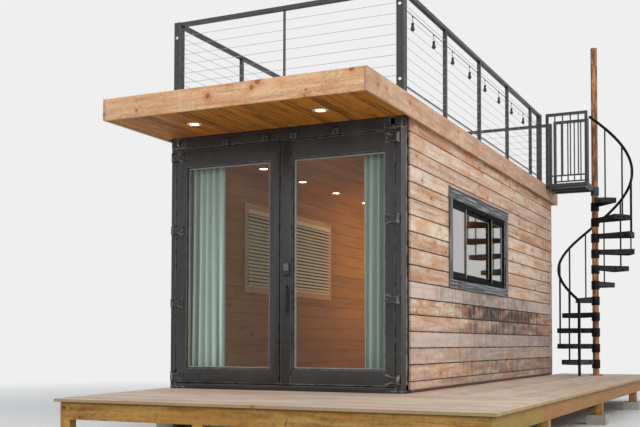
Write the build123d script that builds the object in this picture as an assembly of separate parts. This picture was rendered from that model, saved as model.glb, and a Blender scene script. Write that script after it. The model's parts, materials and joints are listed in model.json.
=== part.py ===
from build123d import *
import math
import os

# A cabin made from a 20 ft shipping container: glazed doors in place of the steel ones, cedar
# boards on the other sides, a railed terrace on the roof, a spiral stair up to it and a ground
# deck round two sides. Millimetres. X runs across the container and is 0 on its centre line,
# Y runs back and is 0 at the door end, Z is 0 on the walking face of the ground deck.

# Container
container_length = 6058
container_width = 2438
container_height = 2591
container_base = -98
ground_level = -390
casting_length = 178
casting_width = 162
casting_height = 118
casting_wall = 16
casting_cap = 28
aperture_height = 79
aperture_width = 51
aperture_top_length = 124
aperture_top_width = 63.5

# Steel frame
post_face = 57
post_depth = 113
post_stop = 42
post_stop_start = 62
post_edge_round = 8
rear_post_size = 60
top_rail_size = 60
bottom_rail_depth = 158
bottom_rail_flange = 40
bottom_rail_rise = 13
rail_plate = 5
cross_member_width = 45
cross_member_plate = 4
cross_member_pitch = 420
cross_member_start = 252
sill_top = 54
sill_round = 14
roof_sheet = 20
keeper_spots = (-585, -152, 152, 585)
keeper_width = 62
keeper_height = 70
keeper_depth = 26
keeper_back = 9
keeper_chamfer = 16
keeper_slot = 24
keeper_slot_height = 42

# Corrugated steel walls
wave_depth = 36
wave_flat = 72
wave_slope = 68
sheet = 2
wall_inset = 3

# Floor, lining and ceiling
floor_top = 60
floor_thickness = 28
lining_thickness = 58
lining_clear = 2
ceiling_drop = 153
ceiling_thickness = 25
ceiling_light_radius = 75
ceiling_light_drop = 6
ceiling_light_x = 820
ceiling_light_pitch = 950
ceiling_light_start = 1180
ceiling_light_count = 5

# Doors
door_drop = 143
door_gap = 8
seam_gap = 12
leaf_depth = 55
right_outer_stile = 92
right_inner_stile = 130
left_outer_stile = 120
left_inner_stile = 102
top_stile = 177
bottom_stile = 138
glass_thickness = 14
glass_setback = 30
bead_width = 12
bead_depth = 12
pin_reach = 28
pin_offset = 22
pin_radius = 8
pin_play = 0.06
knuckle_radius = 14
knuckle_height = 60
lug_thickness = 12
lug_play = 1
strap_thickness = 10
strap_reach = 86
strap_height = 96
strap_rib = 5
low_hinges = (58, 772)
high_hinges = (798, 69)
strip_edge = 6
strip_width = 112
strip_depth = 12
lock_height = 1138
lock_length = 124
lock_width = 66
lock_depth = 26
lock_corner = 11
handle_bottom = 700
handle_top = 1012
handle_plate = 60
handle_thickness = 5
handle_grip = 20
handle_reach = 52
fitting_x = 84

# Cladding and windows
board_thickness = 21
cladding_start = 178
cladding_bottom = 26
window_start = 1367
window_width = 2092
window_bottom = 1093
window_height = 825
trim_width = 89
trim_thickness = 19
cap_height = 30
cap_reach = 30
window_frame_width = 45
window_frame_depth = 66
window_setback = 4
sash_width = 42
sash_step = 24
sash_setback = 6
pane = 6
blind_thickness = 30
blind_overlap = 22
overcut = 1

# Roof terrace
joist_depth = 140
joist_thickness = 38
joist_count = 7
roof_board = 25
front_overhang = 990
rear_overhang = 162
side_overhang = 82
fascia_thickness = 25
fascia_height = 196
soffit_thickness = 18
soffit_light_radius = 75
soffit_light_drop = 6
soffit_light_x = 648
soffit_light_y = -477

# Roof rail
rail_height = 982
rail_width = 50
rail_depth = 38
right_rail_inset = 91
left_rail_inset = 144
front_rail_y = 30
rear_rail_inset = 120
corner_post = 76
mid_post = 38
end_post = 64
centre_stay = 20
first_mid_post = 1270
mid_post_pitch = 1217
cable_count = 9
cable_thickness = 5
low_bar_height = 112
low_bar_thickness = 12
base_plate = 130
small_base_plate = 90
base_plate_thickness = 8

# Festoon lights along the right rail
lead_drop = 150
lead_radius = 3.5
lead_clear = 0.3
clip_radius = 7
clip_height = 14
drop_radius = 2.5
drop_length = 52
socket_radius = 13
socket_height = 26
bulb_radius = 20
bulb_height = 52
bulb_start = 380
bulb_pitch = 606
bulb_count = 8

# Landing and spiral stair
landing_length = 550
landing_edge = 65
landing_plate = 6
landing_frame = 40
landing_post = 38
picket = 16
picket_count = 4
low_rail_gap = 100
pole_from_wall = 630
pole_set_in = 58
pole_radius = 44.5
pole_above_rail = 1000
pole_foot_radius = 95
pole_foot = 12
hub_wall = 12
hub_height = 120
hub_clear = 0.3
tread_count = 11
tread_turn = 30
tread_sweep = 33
datum_tread = 8
datum_tread_angle = 25.4
tread_radius = 530
tread_plate = 6
tread_lip = 70
handrail_radius = 505
handrail_tube = 19
handrail_above = 950
baluster_size = 16
newel_size = 30
newel_clear_turn = 2
baluster_clear = 0.3

# Ground deck
deck_board = 25
deck_front = -1960
side_deck_width = 1361
deck_behind = 692
deck_left_in = 219
deck_left_out = 51
deck_overhang = 40
deck_joist_depth = 140
deck_joist_thickness = 38
deck_joist_pitch = 560
deck_wall_gap = 6
board_gap = 1
stub = 89
stub_height = 125
block_size = 190
front_stub_pitch = 1242
side_stub_start = -230
side_stub_pitch = 2530
pier_size = 290

# Curtains
curtain_y = 170
curtain_depth = 80
curtain_drop = 150
curtain_clear = 5
left_curtain_gap = 20
left_curtain_width = 400
right_curtain_gap = 30
right_curtain_width = 290
rod_radius = 10
soft_clear = 0.3

half_width = container_width / 2
container_top = container_base + container_height
casting_top = container_base + casting_height
rail_bottom = container_base + bottom_rail_rise
door_top = container_top - door_drop
header_bottom = door_top + door_gap
ceiling_height = container_top - ceiling_drop
curtain_top = ceiling_height - curtain_drop
leaf_bottom = sill_top + door_gap
hinge_heights = [leaf_bottom + up for up in low_hinges] + [door_top - down for down in high_hinges]
leaf_edge = half_width - post_face - door_gap
right_stiles = (right_inner_stile, right_outer_stile)
left_stiles = (left_inner_stile, left_outer_stile)
pin_x = half_width - pin_reach
stop_edge = half_width - post_face - post_stop
lining_start = post_depth + lining_clear
lining_face = half_width - wall_inset - wave_depth - lining_clear - lining_thickness
lining_back = lining_face + lining_thickness
lining_end = container_length - rear_post_size - lining_clear
cladding_face = half_width + board_thickness
rear_face = container_length + board_thickness
window_end = window_start + window_width
window_top = window_bottom + window_height
roof_top = container_top + joist_depth + roof_board
roof_x = half_width + side_overhang
roof_rear = container_length + rear_overhang
inner_roof_x = roof_x - fascia_thickness
inner_front = -front_overhang + fascia_thickness
inner_rear = roof_rear - fascia_thickness
rail_top = roof_top + rail_height
right_rail_x = roof_x - right_rail_inset
left_rail_x = left_rail_inset - roof_x
rail_middle_x = (left_rail_x + right_rail_x) / 2
rear_rail_y = roof_rear - rear_rail_inset
pole_x = cladding_face + pole_from_wall
pole_y = container_length - pole_set_in
pole_top = rail_top + pole_above_rail
landing_start = pole_y - landing_length
right_rail_end = landing_start + board_gap + end_post / 2
lead_height = rail_top - lead_drop
tread_rise = roof_top / (tread_count + 1)
hub_radius = pole_radius + hub_clear + hub_wall
newel_angle = datum_tread_angle + (datum_tread - 1) * tread_turn + tread_sweep / 2 + newel_clear_turn
deck_side = cladding_face + deck_wall_gap
deck_right = deck_side + side_deck_width
deck_rear = container_length + deck_behind
deck_left_front = -half_width + deck_left_in
deck_left_rear = -half_width - deck_left_out
frame_front = deck_front + deck_overhang
frame_right = deck_right - deck_overhang
frame_rear = deck_rear - deck_overhang
frame_back = -deck_wall_gap
stub_foot = -deck_board - deck_joist_depth - stub_height


def slab(x, y, z):
    """A box between two limits along each axis."""
    size = (abs(x[1] - x[0]), abs(y[1] - y[0]), abs(z[1] - z[0]))
    corner = (min(x), min(y), min(z))
    return Pos(*corner) * Box(*size, align=(Align.MIN, Align.MIN, Align.MIN))


def post(x, y, z, width, depth=None):
    """An upright bar standing centred on a point."""
    depth = depth or width
    return slab((x - width / 2, x + width / 2), (y - depth / 2, y + depth / 2), z)


def rod(x, y, z, radius):
    """An upright round bar between two heights."""
    return Pos(x, y, z[0]) * Cylinder(radius, z[1] - z[0], align=(Align.CENTER, Align.CENTER, Align.MIN))


def plan(points, z):
    """A flat outline seen from above, raised between two heights."""
    face = make_face(Polyline(*points, close=True))
    return Pos(0, 0, z[0]) * extrude(face, z[1] - z[0])


def both_sides(solid):
    return [solid, mirror(solid, about=Plane.YZ)]


def corner_castings():
    outer_x = half_width
    block = slab((outer_x - casting_width, outer_x), (0, casting_length), (container_top - casting_height,
                                                                          container_top))
    cavity = slab((outer_x - casting_width + casting_wall, outer_x - casting_wall),
                  (casting_wall, casting_length - casting_wall),
                  (container_top - casting_height + casting_cap, container_top - casting_cap))
    middle = container_top - casting_height / 2
    end_slot = SlotOverall(aperture_height, aperture_width)
    end_hole = Pos(outer_x - casting_width / 2, casting_wall, middle) * (
        Rot(90, 0, 0) * Rot(0, 0, 90) * extrude(end_slot, 2 * casting_wall))
    side_hole = Pos(outer_x - 2 * casting_wall, casting_length / 2, middle) * (
        Rot(0, 90, 0) * extrude(end_slot, 3 * casting_wall))
    top_slot = SlotOverall(aperture_top_length, aperture_top_width)
    top_hole = Pos(outer_x - casting_width / 2, casting_length / 2, container_top - 2 * casting_cap) * (
        Rot(0, 0, 90) * extrude(top_slot, 3 * casting_cap))
    front_top = block - cavity - end_hole - side_hole - top_hole
    mid_height = Plane.XY.offset(container_base + container_height / 2)
    mid_length = Plane.XZ.offset(-container_length / 2)
    front = [front_top, mirror(front_top, about=mid_height)]
    ends = front + [mirror(solid, about=mid_length) for solid in front]
    return [copy for solid in ends for copy in both_sides(solid)]


def hinge_lugs():
    """Welded lugs with their pin, one set for each strap on the right post."""
    lugs = []
    for height in hinge_heights:
        low = height - knuckle_height / 2 - lug_play
        high = height + knuckle_height / 2 + lug_play
        pin = rod(pin_x, -pin_offset, (low - lug_thickness, high + lug_thickness), pin_radius)
        for base in (low - lug_thickness, high):
            z = (base, base + lug_thickness)
            lug = slab((pin_x - knuckle_radius, pin_x + knuckle_radius), (-pin_offset, 0), z)
            lug += rod(pin_x, -pin_offset, z, knuckle_radius)
            pin += lug
        lugs.append(pin)
    return lugs


def corner_posts():
    z = (casting_top, container_top - casting_height)
    outline = [(half_width - post_face, 0), (half_width, 0), (half_width, post_depth),
               (stop_edge, post_depth), (stop_edge, post_stop_start),
               (half_width - post_face, post_stop_start)]
    front = plan(outline, z)
    corner = front.edges().filter_by(Axis.Z).group_by(Axis.X)[-1].sort_by(Axis.Y)[0]
    front = fillet(corner, post_edge_round)
    for lug in hinge_lugs():
        front += lug
    rear_start = container_length - rear_post_size
    rear = slab((half_width - rear_post_size, half_width), (rear_start, container_length), z)
    return both_sides(front) + both_sides(rear)


def channel(length, height, flange, plate):
    """A rolled channel along Y, its web on the outer (+X) side and its foot at Z = 0."""
    outline = Polyline((0, 0), (0, height), (-flange, height), (-flange, height - plate),
                       (-plate, height - plate), (-plate, plate), (-flange, plate), (-flange, 0),
                       close=True)
    return extrude(Plane.XZ * make_face(outline), -length)


def base_frame():
    start = casting_length
    length = container_length - 2 * casting_length
    rail = Pos(half_width, start, rail_bottom) * channel(length, bottom_rail_depth, bottom_rail_flange,
                                                        rail_plate)
    rear_bar = slab((-half_width + casting_width, half_width - casting_width),
                    (container_length - rear_post_size, container_length),
                    (rail_bottom, casting_top))
    members = []
    member_top = floor_top - floor_thickness
    member_depth = member_top - rail_bottom - rail_plate
    reach = 2 * (half_width - rail_plate)
    count = int((length - cross_member_width) // cross_member_pitch)
    for index in range(count):
        y = start + cross_member_start + index * cross_member_pitch
        bar = channel(reach, member_depth, cross_member_width, cross_member_plate)
        members.append(Pos(-reach / 2, y, rail_bottom + rail_plate) * (Rot(0, 0, -90) * bar))
    return both_sides(rail) + [rear_bar] + members


def door_sill():
    between = half_width - casting_width
    low = slab((-between, between), (0, post_depth), (rail_bottom, casting_top))
    high = slab((-half_width + post_face, half_width - post_face), (0, post_stop_start),
                (casting_top, sill_top))
    front_edge = high.edges().filter_by(Axis.X).group_by(Axis.Z)[-1].sort_by(Axis.Y)[0]
    high = fillet(front_edge, sill_round)
    return [low + high]


def door_header():
    castings = container_top - casting_height
    between = half_width - casting_width
    low = slab((-half_width + post_face, half_width - post_face), (0, post_stop_start),
               (header_bottom, castings))
    high = slab((-between, between), (0, post_stop_start), (castings, container_top))
    stop = slab((-stop_edge, stop_edge), (post_stop_start, post_depth), (ceiling_height, castings))
    header = low + high + stop
    for x in keeper_spots:
        keeper = slab((x - keeper_width / 2, x + keeper_width / 2), (-keeper_depth, 0),
                      (header_bottom, header_bottom + keeper_height))
        mouth = slab((x - keeper_slot / 2, x + keeper_slot / 2), (-keeper_depth, -keeper_back),
                     (header_bottom, header_bottom + keeper_slot_height))
        top_edge = keeper.edges().filter_by(Axis.X).group_by(Axis.Z)[-1].sort_by(Axis.Y)[0]
        keeper = chamfer(top_edge, keeper_chamfer)
        header += keeper - mouth
    return [header]


def top_rails():
    z = (container_top - top_rail_size, container_top)
    side = slab((half_width - top_rail_size, half_width),
                (casting_length, container_length - casting_length), z)
    rear = slab((-half_width + casting_width, half_width - casting_width),
                (container_length - rear_post_size, container_length), z)
    return both_sides(side) + [rear]


def wave(length, height):
    """Corrugated sheet along +X from 0, its outer flats at Y = 0 and its inner ones behind."""
    pitch = 2 * (wave_flat + wave_slope)
    count = int(length // pitch)
    margin = (length - count * pitch + wave_flat) / 2
    front = [(0, 0)]
    for index in range(count):
        x = margin + index * pitch
        front.append((x, 0))
        front.append((x + wave_slope, wave_depth - sheet))
        front.append((x + wave_slope + wave_flat, wave_depth - sheet))
        front.append((x + 2 * wave_slope + wave_flat, 0))
    front.append((length, 0))
    back = [(x, y + sheet) for x, y in reversed(front)]
    return extrude(make_face(Polyline(*front, *back, close=True)), height)


def window_hole(x, margin=0):
    return slab(x, (window_start - margin, window_end + margin),
                (window_bottom - margin, window_top + margin))


def steel_walls():
    bottom = rail_bottom + bottom_rail_depth
    top = container_top - top_rail_size
    start = post_depth
    length = container_length - rear_post_size - start
    side = Pos(half_width - wall_inset, start, bottom) * (Rot(0, 0, 90) * wave(length, top - bottom))
    side -= window_hole((half_width - 2 * wave_depth, half_width))
    castings = (container_top - casting_height, container_top)
    for y in ((0, casting_length), (container_length - casting_length, container_length)):
        side -= slab((half_width - casting_width, half_width), y, castings)
    width = 2 * (half_width - rear_post_size)
    rear = Rot(0, 0, 180) * wave(width, top - bottom)
    rear = Pos(half_width - rear_post_size, container_length - wall_inset, bottom) * rear
    for x in ((-half_width, -half_width + casting_width), (half_width - casting_width, half_width)):
        rear -= slab(x, (container_length - casting_length, container_length), castings)
    return both_sides(side) + [rear]


def steel_roof():
    z = (container_top - roof_sheet, container_top)
    inner = half_width - top_rail_size
    between = half_width - casting_width
    middle = slab((-inner, inner), (casting_length, container_length - casting_length), z)
    ends = slab((-between, between), (post_stop_start, container_length - rear_post_size), z)
    return [middle + ends]


def floor():
    inner = half_width - bottom_rail_flange
    return [slab((-inner, inner), (lining_start, lining_end), (floor_top - floor_thickness, floor_top))]


def side_lining():
    wall = slab((lining_face, lining_back), (lining_start, lining_end), (floor_top, ceiling_height))
    return wall - window_hole((lining_face - overcut, lining_back + overcut))


def rear_lining():
    back = container_length - wall_inset - wave_depth - lining_clear
    return [slab((-lining_face, lining_face), (back - lining_thickness, back), (floor_top, ceiling_height))]


def ceiling():
    return [slab((-lining_back, lining_back), (lining_start, lining_end),
                 (ceiling_height, ceiling_height + ceiling_thickness))]


def recessed_lights():
    lights = []
    for side in (-1, 1):
        low = container_top - soffit_thickness
        lights.append(rod(side * soffit_light_x, soffit_light_y, (low - soffit_light_drop, low),
                          soffit_light_radius))
        for index in range(ceiling_light_count):
            y = ceiling_light_start + index * ceiling_light_pitch
            lights.append(rod(side * ceiling_light_x, y,
                              (ceiling_height - ceiling_light_drop, ceiling_height),
                              ceiling_light_radius))
    return lights


def side_cladding():
    wall = slab((half_width, cladding_face), (cladding_start, rear_face),
                (cladding_bottom, container_top))
    return wall - window_hole((half_width - overcut, cladding_face + overcut))


def rear_cladding():
    return [slab((-half_width, half_width), (container_length, rear_face),
                 (cladding_bottom, container_top))]


def window_frame():
    """A three-light slider: the middle light is twice as wide as the outer two."""
    face = cladding_face - window_setback
    back = face - window_frame_depth
    ring = window_hole((back, face)) - window_hole((back - overcut, face + overcut), -window_frame_width)
    inner = window_hole((0, 1), -window_frame_width).bounding_box()
    quarter = (inner.max.Y - inner.min.Y) / 4
    spans = sash_spans(inner, quarter)
    for index, (low, high) in enumerate(spans):
        front = face - sash_setback - (sash_step if index == 1 else 0)
        x = (front - sash_step, front)
        sash = slab(x, (low, high), (inner.min.Z, inner.max.Z))
        light = slab((x[0] - overcut, x[1] + overcut), (low + sash_width, high - sash_width),
                     (inner.min.Z + sash_width, inner.max.Z - sash_width))
        ring += sash - light
    return ring


def sash_spans(inner, quarter):
    overlap = sash_width / 2
    return [(inner.min.Y, inner.min.Y + quarter + overlap),
            (inner.min.Y + quarter - overlap, inner.max.Y - quarter + overlap),
            (inner.max.Y - quarter - overlap, inner.max.Y)]


def window_panes():
    face = cladding_face - window_setback
    inner = window_hole((0, 1), -window_frame_width).bounding_box()
    quarter = (inner.max.Y - inner.min.Y) / 4
    panes = []
    for index, (low, high) in enumerate(sash_spans(inner, quarter)):
        front = face - sash_setback - (sash_step if index == 1 else 0)
        middle = front - sash_step / 2
        panes.append(slab((middle - pane / 2, middle + pane / 2), (low + sash_width, high - sash_width),
                          (inner.min.Z + sash_width, inner.max.Z - sash_width)))
    return panes


def window_trim():
    """Flat boards round the opening, with a drip cap over the head board."""
    x = (cladding_face, cladding_face + trim_thickness)
    outer = (window_start - trim_width, window_end + trim_width)
    boards = [slab(x, outer, (window_bottom - trim_width, window_bottom))]
    boards.append(slab(x, outer, (window_top, window_top + trim_width)))
    for y in (outer[0], window_end):
        boards.append(slab(x, (y, y + trim_width), (window_bottom + board_gap, window_top - board_gap)))
    head = window_top + trim_width + board_gap
    reach = cladding_face + cap_reach
    outline = Polyline((cladding_face, head), (reach, head), (reach, head + cap_height / 2),
                       (cladding_face, head + cap_height), close=True)
    cap = Pos(0, outer[0], 0) * extrude(Plane.XZ * make_face(outline), -(outer[1] - outer[0]))
    return boards + [cap]


def window_blind():
    x = (-lining_face, -lining_face + blind_thickness)
    return [slab(x, (window_start - blind_overlap, window_end + blind_overlap),
                 (window_bottom - blind_overlap, window_top + blind_overlap))]


def roof_joists():
    edge = inner_roof_x - joist_thickness / 2
    step = 2 * edge / (joist_count - 1)
    z = (container_top, container_top + joist_depth)
    joists = []
    for index in range(joist_count):
        x = -edge + index * step
        joists.append(slab((x - joist_thickness / 2, x + joist_thickness / 2),
                           (inner_front, inner_rear), z))
    return joists


def roof_boards():
    z = (roof_top - roof_board, roof_top)
    return [slab((-inner_roof_x, inner_roof_x), (inner_front, inner_rear), z)]


def roof_fascia():
    z = (roof_top - fascia_height, roof_top)
    side = slab((inner_roof_x, roof_x), (-front_overhang, roof_rear), z)
    within = (-inner_roof_x + board_gap, inner_roof_x - board_gap)
    front = slab(within, (-front_overhang, inner_front), z)
    rear = slab(within, (inner_rear, roof_rear), z)
    return both_sides(side) + [front, rear]


def roof_soffit():
    return [slab((-inner_roof_x, inner_roof_x), (inner_front, 0),
                 (container_top - soffit_thickness, container_top))]


def cables(start, end, at_x=None, at_y=None):
    """Level cables between two posts, along Y at one X or along X at one Y."""
    pitch = (rail_height - rail_depth) / (cable_count + 1)
    bars = []
    for index in range(cable_count):
        z = roof_top + pitch * (index + 1)
        half = cable_thickness / 2
        if at_x is not None:
            bars.append(slab((at_x - half, at_x + half), (start, end), (z - half, z + half)))
        else:
            bars.append(slab((start, end), (at_y - half, at_y + half), (z - half, z + half)))
    return bars


def fuse(solids):
    return solids[0] + solids[1:]


def base_plate_under(x, y, size):
    """A welded plate on the roof boards under a rail post."""
    return post(x, y, (roof_top, roof_top + base_plate_thickness), size)


def posts_at(end):
    """Places along a side rail of the middle posts that stand before its end."""
    count = int((end - first_mid_post) // mid_post_pitch) + 1
    return [first_mid_post + index * mid_post_pitch for index in range(count)]


def end_rail(y, middle_post):
    """A rail across one end of the terrace, with both corner posts and a middle post."""
    span = (left_rail_x + corner_post / 2, right_rail_x - corner_post / 2)
    bars = [slab(span, (y - rail_width / 2, y + rail_width / 2), (rail_top - rail_depth, rail_top))]
    for x in (left_rail_x, right_rail_x):
        bars.append(post(x, y, (roof_top, rail_top), corner_post))
        bars.append(base_plate_under(x, y, base_plate))
    bars.append(post(rail_middle_x, y, (roof_top, rail_top - rail_depth), middle_post))
    return bars + cables(*span, at_y=y)


def roof_rail_front():
    return [fuse(end_rail(front_rail_y, centre_stay))]


def roof_rail_rear():
    plate = base_plate_under(rail_middle_x, rear_rail_y, small_base_plate)
    return [fuse(end_rail(rear_rail_y, mid_post) + [plate])]


def side_rail(x, end, closing_post):
    """Top rail, posts, cables and low bar, from the front corner post to the end."""
    start = front_rail_y + corner_post / 2
    under = (roof_top, rail_top - rail_depth)
    bars = [slab((x - rail_width / 2, x + rail_width / 2), (start, end), (rail_top - rail_depth, rail_top))]
    for y in posts_at(end):
        bars.append(post(x, y, under, mid_post))
        bars.append(base_plate_under(x, y, small_base_plate))
    if closing_post:
        bars.append(post(x, end - end_post / 2, (roof_top, rail_top), end_post))
        bars.append(base_plate_under(x, end - end_post / 2, small_base_plate))
    bars += cables(start, end, at_x=x)
    low = roof_top + low_bar_height
    half = low_bar_thickness / 2
    bars.append(slab((x - half, x + half), (start, end), (low - half, low + half)))
    return [fuse(bars)]


def roof_rail_right():
    return side_rail(right_rail_x, right_rail_end, True)


def roof_rail_left():
    return side_rail(left_rail_x, rear_rail_y - corner_post / 2, False)


def light_lead():
    """The flex of the festoon lights, tied along the inner faces of the right rail's posts."""
    x = right_rail_x - mid_post / 2 - lead_radius - lead_clear
    start = front_rail_y + corner_post / 2 + lead_clear
    end = right_rail_end - end_post - lead_clear
    flex = Cylinder(lead_radius, end - start, align=(Align.CENTER, Align.CENTER, Align.MIN))
    return [Pos(x, start, lead_height) * (Rot(-90, 0, 0) * flex)]


def festoon_bulb():
    """A pendant below its flex: clip, drop cord, socket and pear-shaped bulb."""
    top = -lead_radius - lead_clear
    clip = top - clip_height
    socket = clip - drop_length
    neck = socket - socket_height
    belly = neck - bulb_height + bulb_radius
    shoulder = belly + bulb_radius
    line = Polyline((0, neck - bulb_height), (0, top), (clip_radius, top), (clip_radius, clip),
                    (drop_radius, clip), (drop_radius, socket), (socket_radius, socket),
                    (socket_radius, neck))
    curve = Bezier((socket_radius, neck), (socket_radius, shoulder), (bulb_radius, shoulder),
                   (bulb_radius, belly))
    tip = RadiusArc((bulb_radius, belly), (0, neck - bulb_height), bulb_radius)
    return revolve(Plane.XZ * make_face(line + curve + tip), Axis.Z)


def string_lights():
    x = right_rail_x - mid_post / 2 - lead_radius - lead_clear
    bulb = festoon_bulb()
    return [Pos(x, bulb_start + index * bulb_pitch, lead_height) * bulb for index in range(bulb_count)]


def landing():
    """Steel plate on an edge frame, its corner carried by a sleeve on the pole."""
    low = roof_top - landing_edge
    plate = slab((roof_x, pole_x), (landing_start, pole_y), (low, roof_top))
    inner_x = (roof_x + landing_frame, pole_x - landing_frame)
    inner_y = (landing_start + landing_frame, pole_y - landing_frame)
    hollow = slab(inner_x, inner_y, (low - overcut, roof_top - landing_plate))
    rib_y = (landing_start + pole_y) / 2
    rib = slab(inner_x, (rib_y - landing_plate, rib_y + landing_plate), (low, roof_top - landing_plate))
    sleeve = rod(pole_x, pole_y, (roof_top - hub_height, roof_top), hub_radius)
    bore = rod(pole_x, pole_y, (roof_top - 2 * hub_height, roof_top + overcut), pole_radius + hub_clear)
    return [plate - hollow + rib + sleeve - bore]


def landing_rail():
    """Guards on the front and back edges of the landing."""
    guards = []
    top = (rail_top - rail_depth, rail_top)
    low = (roof_top + low_rail_gap, roof_top + low_rail_gap + rail_depth / 2)
    half = landing_post / 2
    ends = {landing_start + half: (roof_x + half, pole_x - half),
            pole_y - half: (roof_x + half, pole_x - pole_radius - hub_wall - landing_post)}
    for y, (first, last) in ends.items():
        bars = [post(x, y, (roof_top, rail_top), landing_post) for x in (first, last)]
        bars.append(slab((first, last), (y - half, y + half), top))
        bars.append(slab((first, last), (y - picket / 2, y + picket / 2), low))
        for index in range(picket_count):
            x = first + (last - first) * (index + 1) / (picket_count + 1)
            bars.append(post(x, y, (low[0], top[0]), picket))
        guards.append(fuse(bars))
    return guards


def stair_pole():
    pole = rod(pole_x, pole_y, (0, pole_top), pole_radius)
    return [pole + rod(pole_x, pole_y, (0, pole_foot), pole_foot_radius)]


def tread_angle(number):
    """Angle from +X of the middle of a tread, counted up from the deck."""
    return datum_tread_angle + (datum_tread - number) * tread_turn


def stair_treads():
    """Folded plate wedges, each on its own sleeve round the pole."""
    half = math.radians(tread_sweep / 2)
    treads = []
    for number in range(1, tread_count + 1):
        top = number * tread_rise
        reach = tread_radius / math.cos(half)
        wedge = make_face(Polyline((0, 0), (reach * math.cos(half), -reach * math.sin(half)),
                                   (reach * math.cos(half), reach * math.sin(half)), close=True))
        wedge &= Circle(tread_radius)
        tread = extrude(wedge, tread_lip)
        inner = offset(wedge, -tread_plate)
        tread -= Pos(0, 0, -overcut) * extrude(inner, tread_lip - tread_plate + overcut)
        tread = Pos(0, 0, -tread_lip) * tread
        sleeve = Pos(0, 0, -hub_height) * Cylinder(hub_radius, hub_height,
                                                   align=(Align.CENTER, Align.CENTER, Align.MIN))
        bore = Pos(0, 0, -2 * hub_height) * Cylinder(pole_radius + hub_clear, 3 * hub_height,
                                                     align=(Align.CENTER, Align.CENTER, Align.MIN))
        tread = tread + sleeve - bore
        treads.append(Pos(pole_x, pole_y, top) * (Rot(0, 0, tread_angle(number)) * tread))
    return treads


def handrail_height(angle):
    """Height of the handrail's centre line at an angle from +X."""
    steps = (tread_angle(0) - angle) / tread_turn
    return steps * tread_rise + handrail_above


def handrail_tubes(radius):
    """The helical tube from the newel to the landing's corner post."""
    end_angle = -90 + math.degrees(math.asin(landing_post / 2 / handrail_radius))
    start_angle = newel_angle + newel_clear_turn
    turn = start_angle - end_angle
    start_z = handrail_height(start_angle)
    rise = handrail_height(end_angle) - start_z
    path = Helix(pitch=rise * 360 / turn, height=rise, radius=handrail_radius, lefthand=True)
    path = Pos(pole_x, pole_y, start_z) * (Rot(0, 0, start_angle) * path)
    section = Plane(origin=path @ 0, z_dir=path % 0) * Circle(radius)
    return sweep(section, path=path, is_frenet=True)


def stair_handrail():
    return [handrail_tubes(handrail_tube)]


def stair_balusters():
    """One upright bar on each tread and the newel on the deck, cut to the handrail's underside."""
    clear = handrail_tubes(handrail_tube + baluster_clear)
    bars = []
    spots = [(tread_angle(n), n * tread_rise, baluster_size) for n in range(1, tread_count + 1)]
    spots.append((newel_angle, 0, newel_size))
    for angle, foot, size in spots:
        bar = slab((handrail_radius - size / 2, handrail_radius + size / 2), (-size / 2, size / 2),
                   (foot, handrail_height(angle)))
        bar = Pos(pole_x, pole_y, 0) * (Rot(0, 0, angle) * bar)
        pieces = (bar - clear).solids()
        bars.append(pieces.sort_by(Axis.Z)[0])
    return bars


def deck_boards():
    z = (-deck_board, 0)
    front = plan([(deck_left_front, deck_front), (deck_side, deck_front), (deck_side, -deck_wall_gap),
                  (deck_left_rear, -deck_wall_gap)], z)
    side = slab((deck_side + board_gap, deck_right), (deck_front, deck_rear), z)
    return [front, side]


def left_edge(y):
    """The splayed left edge of the deck's frame."""
    splay = (deck_left_rear - deck_left_front) / (-deck_wall_gap - deck_front)
    return deck_left_front + splay * (y - deck_front) + deck_overhang


def deck_frame():
    """Rim boards set back under the walking boards, and the joists between them."""
    z = (-deck_board - deck_joist_depth, -deck_board)
    t = deck_joist_thickness
    start = frame_front + t + board_gap
    front = slab((left_edge(frame_front), frame_right), (frame_front, frame_front + t), z)
    right = slab((frame_right - t, frame_right), (start, frame_rear), z)
    left = plan([(left_edge(start), start), (left_edge(start) + t, start),
                 (left_edge(frame_back) + t, frame_back), (left_edge(frame_back), frame_back)], z)
    back = slab((left_edge(frame_back) + t + board_gap, deck_side - board_gap),
                (frame_back - t, frame_back), z)
    wall = slab((deck_side, deck_side + t), (start, frame_rear), z)
    across = (deck_side + t + board_gap, frame_right - t - board_gap)
    rear = slab(across, (frame_rear - t, frame_rear), z)
    bars = [front, right, left, back, wall, rear]
    y = frame_front + deck_joist_pitch
    while y < frame_rear - 2 * t - board_gap:
        bars.append(slab(across, (y, y + t), z))
        y += deck_joist_pitch
    x = left_edge(frame_front) + deck_joist_pitch
    while x < deck_side - t - board_gap:
        bars.append(slab((x, x + t), (start, frame_back - t - board_gap), z))
        x += deck_joist_pitch
    return bars


def under_rim(edge, inward):
    """Centres of a stub and of its block, just inside one edge of the deck's frame."""
    return edge + inward * stub / 2, edge + inward * (block_size / 2 - deck_overhang)


def supports():
    """Places along X and along Y, each as the stub's centre and the block's centre."""
    front = under_rim(frame_front, 1)
    right = under_rim(frame_right, -1)
    rear = under_rim(frame_rear, -1)
    wall = (deck_side + stub / 2, deck_side + block_size / 2)
    back = (frame_back - stub / 2, frame_back - block_size / 2)
    left = under_rim(left_edge(frame_front), 1)
    spots = [(left, front), (right, front), (right, rear), (wall, rear)]
    spots.append((under_rim(left_edge(frame_back - block_size), 1), back))
    for index in (1, 2):
        x = left[0] + index * front_stub_pitch
        spots.append(((x, x), front))
    for index in range(3):
        y = side_stub_start + index * side_stub_pitch
        spots.append((right, (y, y)))
        spots.append((wall, (y, y)))
    return spots


def support_stubs():
    return [post(x[0], y[0], (stub_foot, stub_foot + stub_height), stub) for x, y in supports()]


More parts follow.
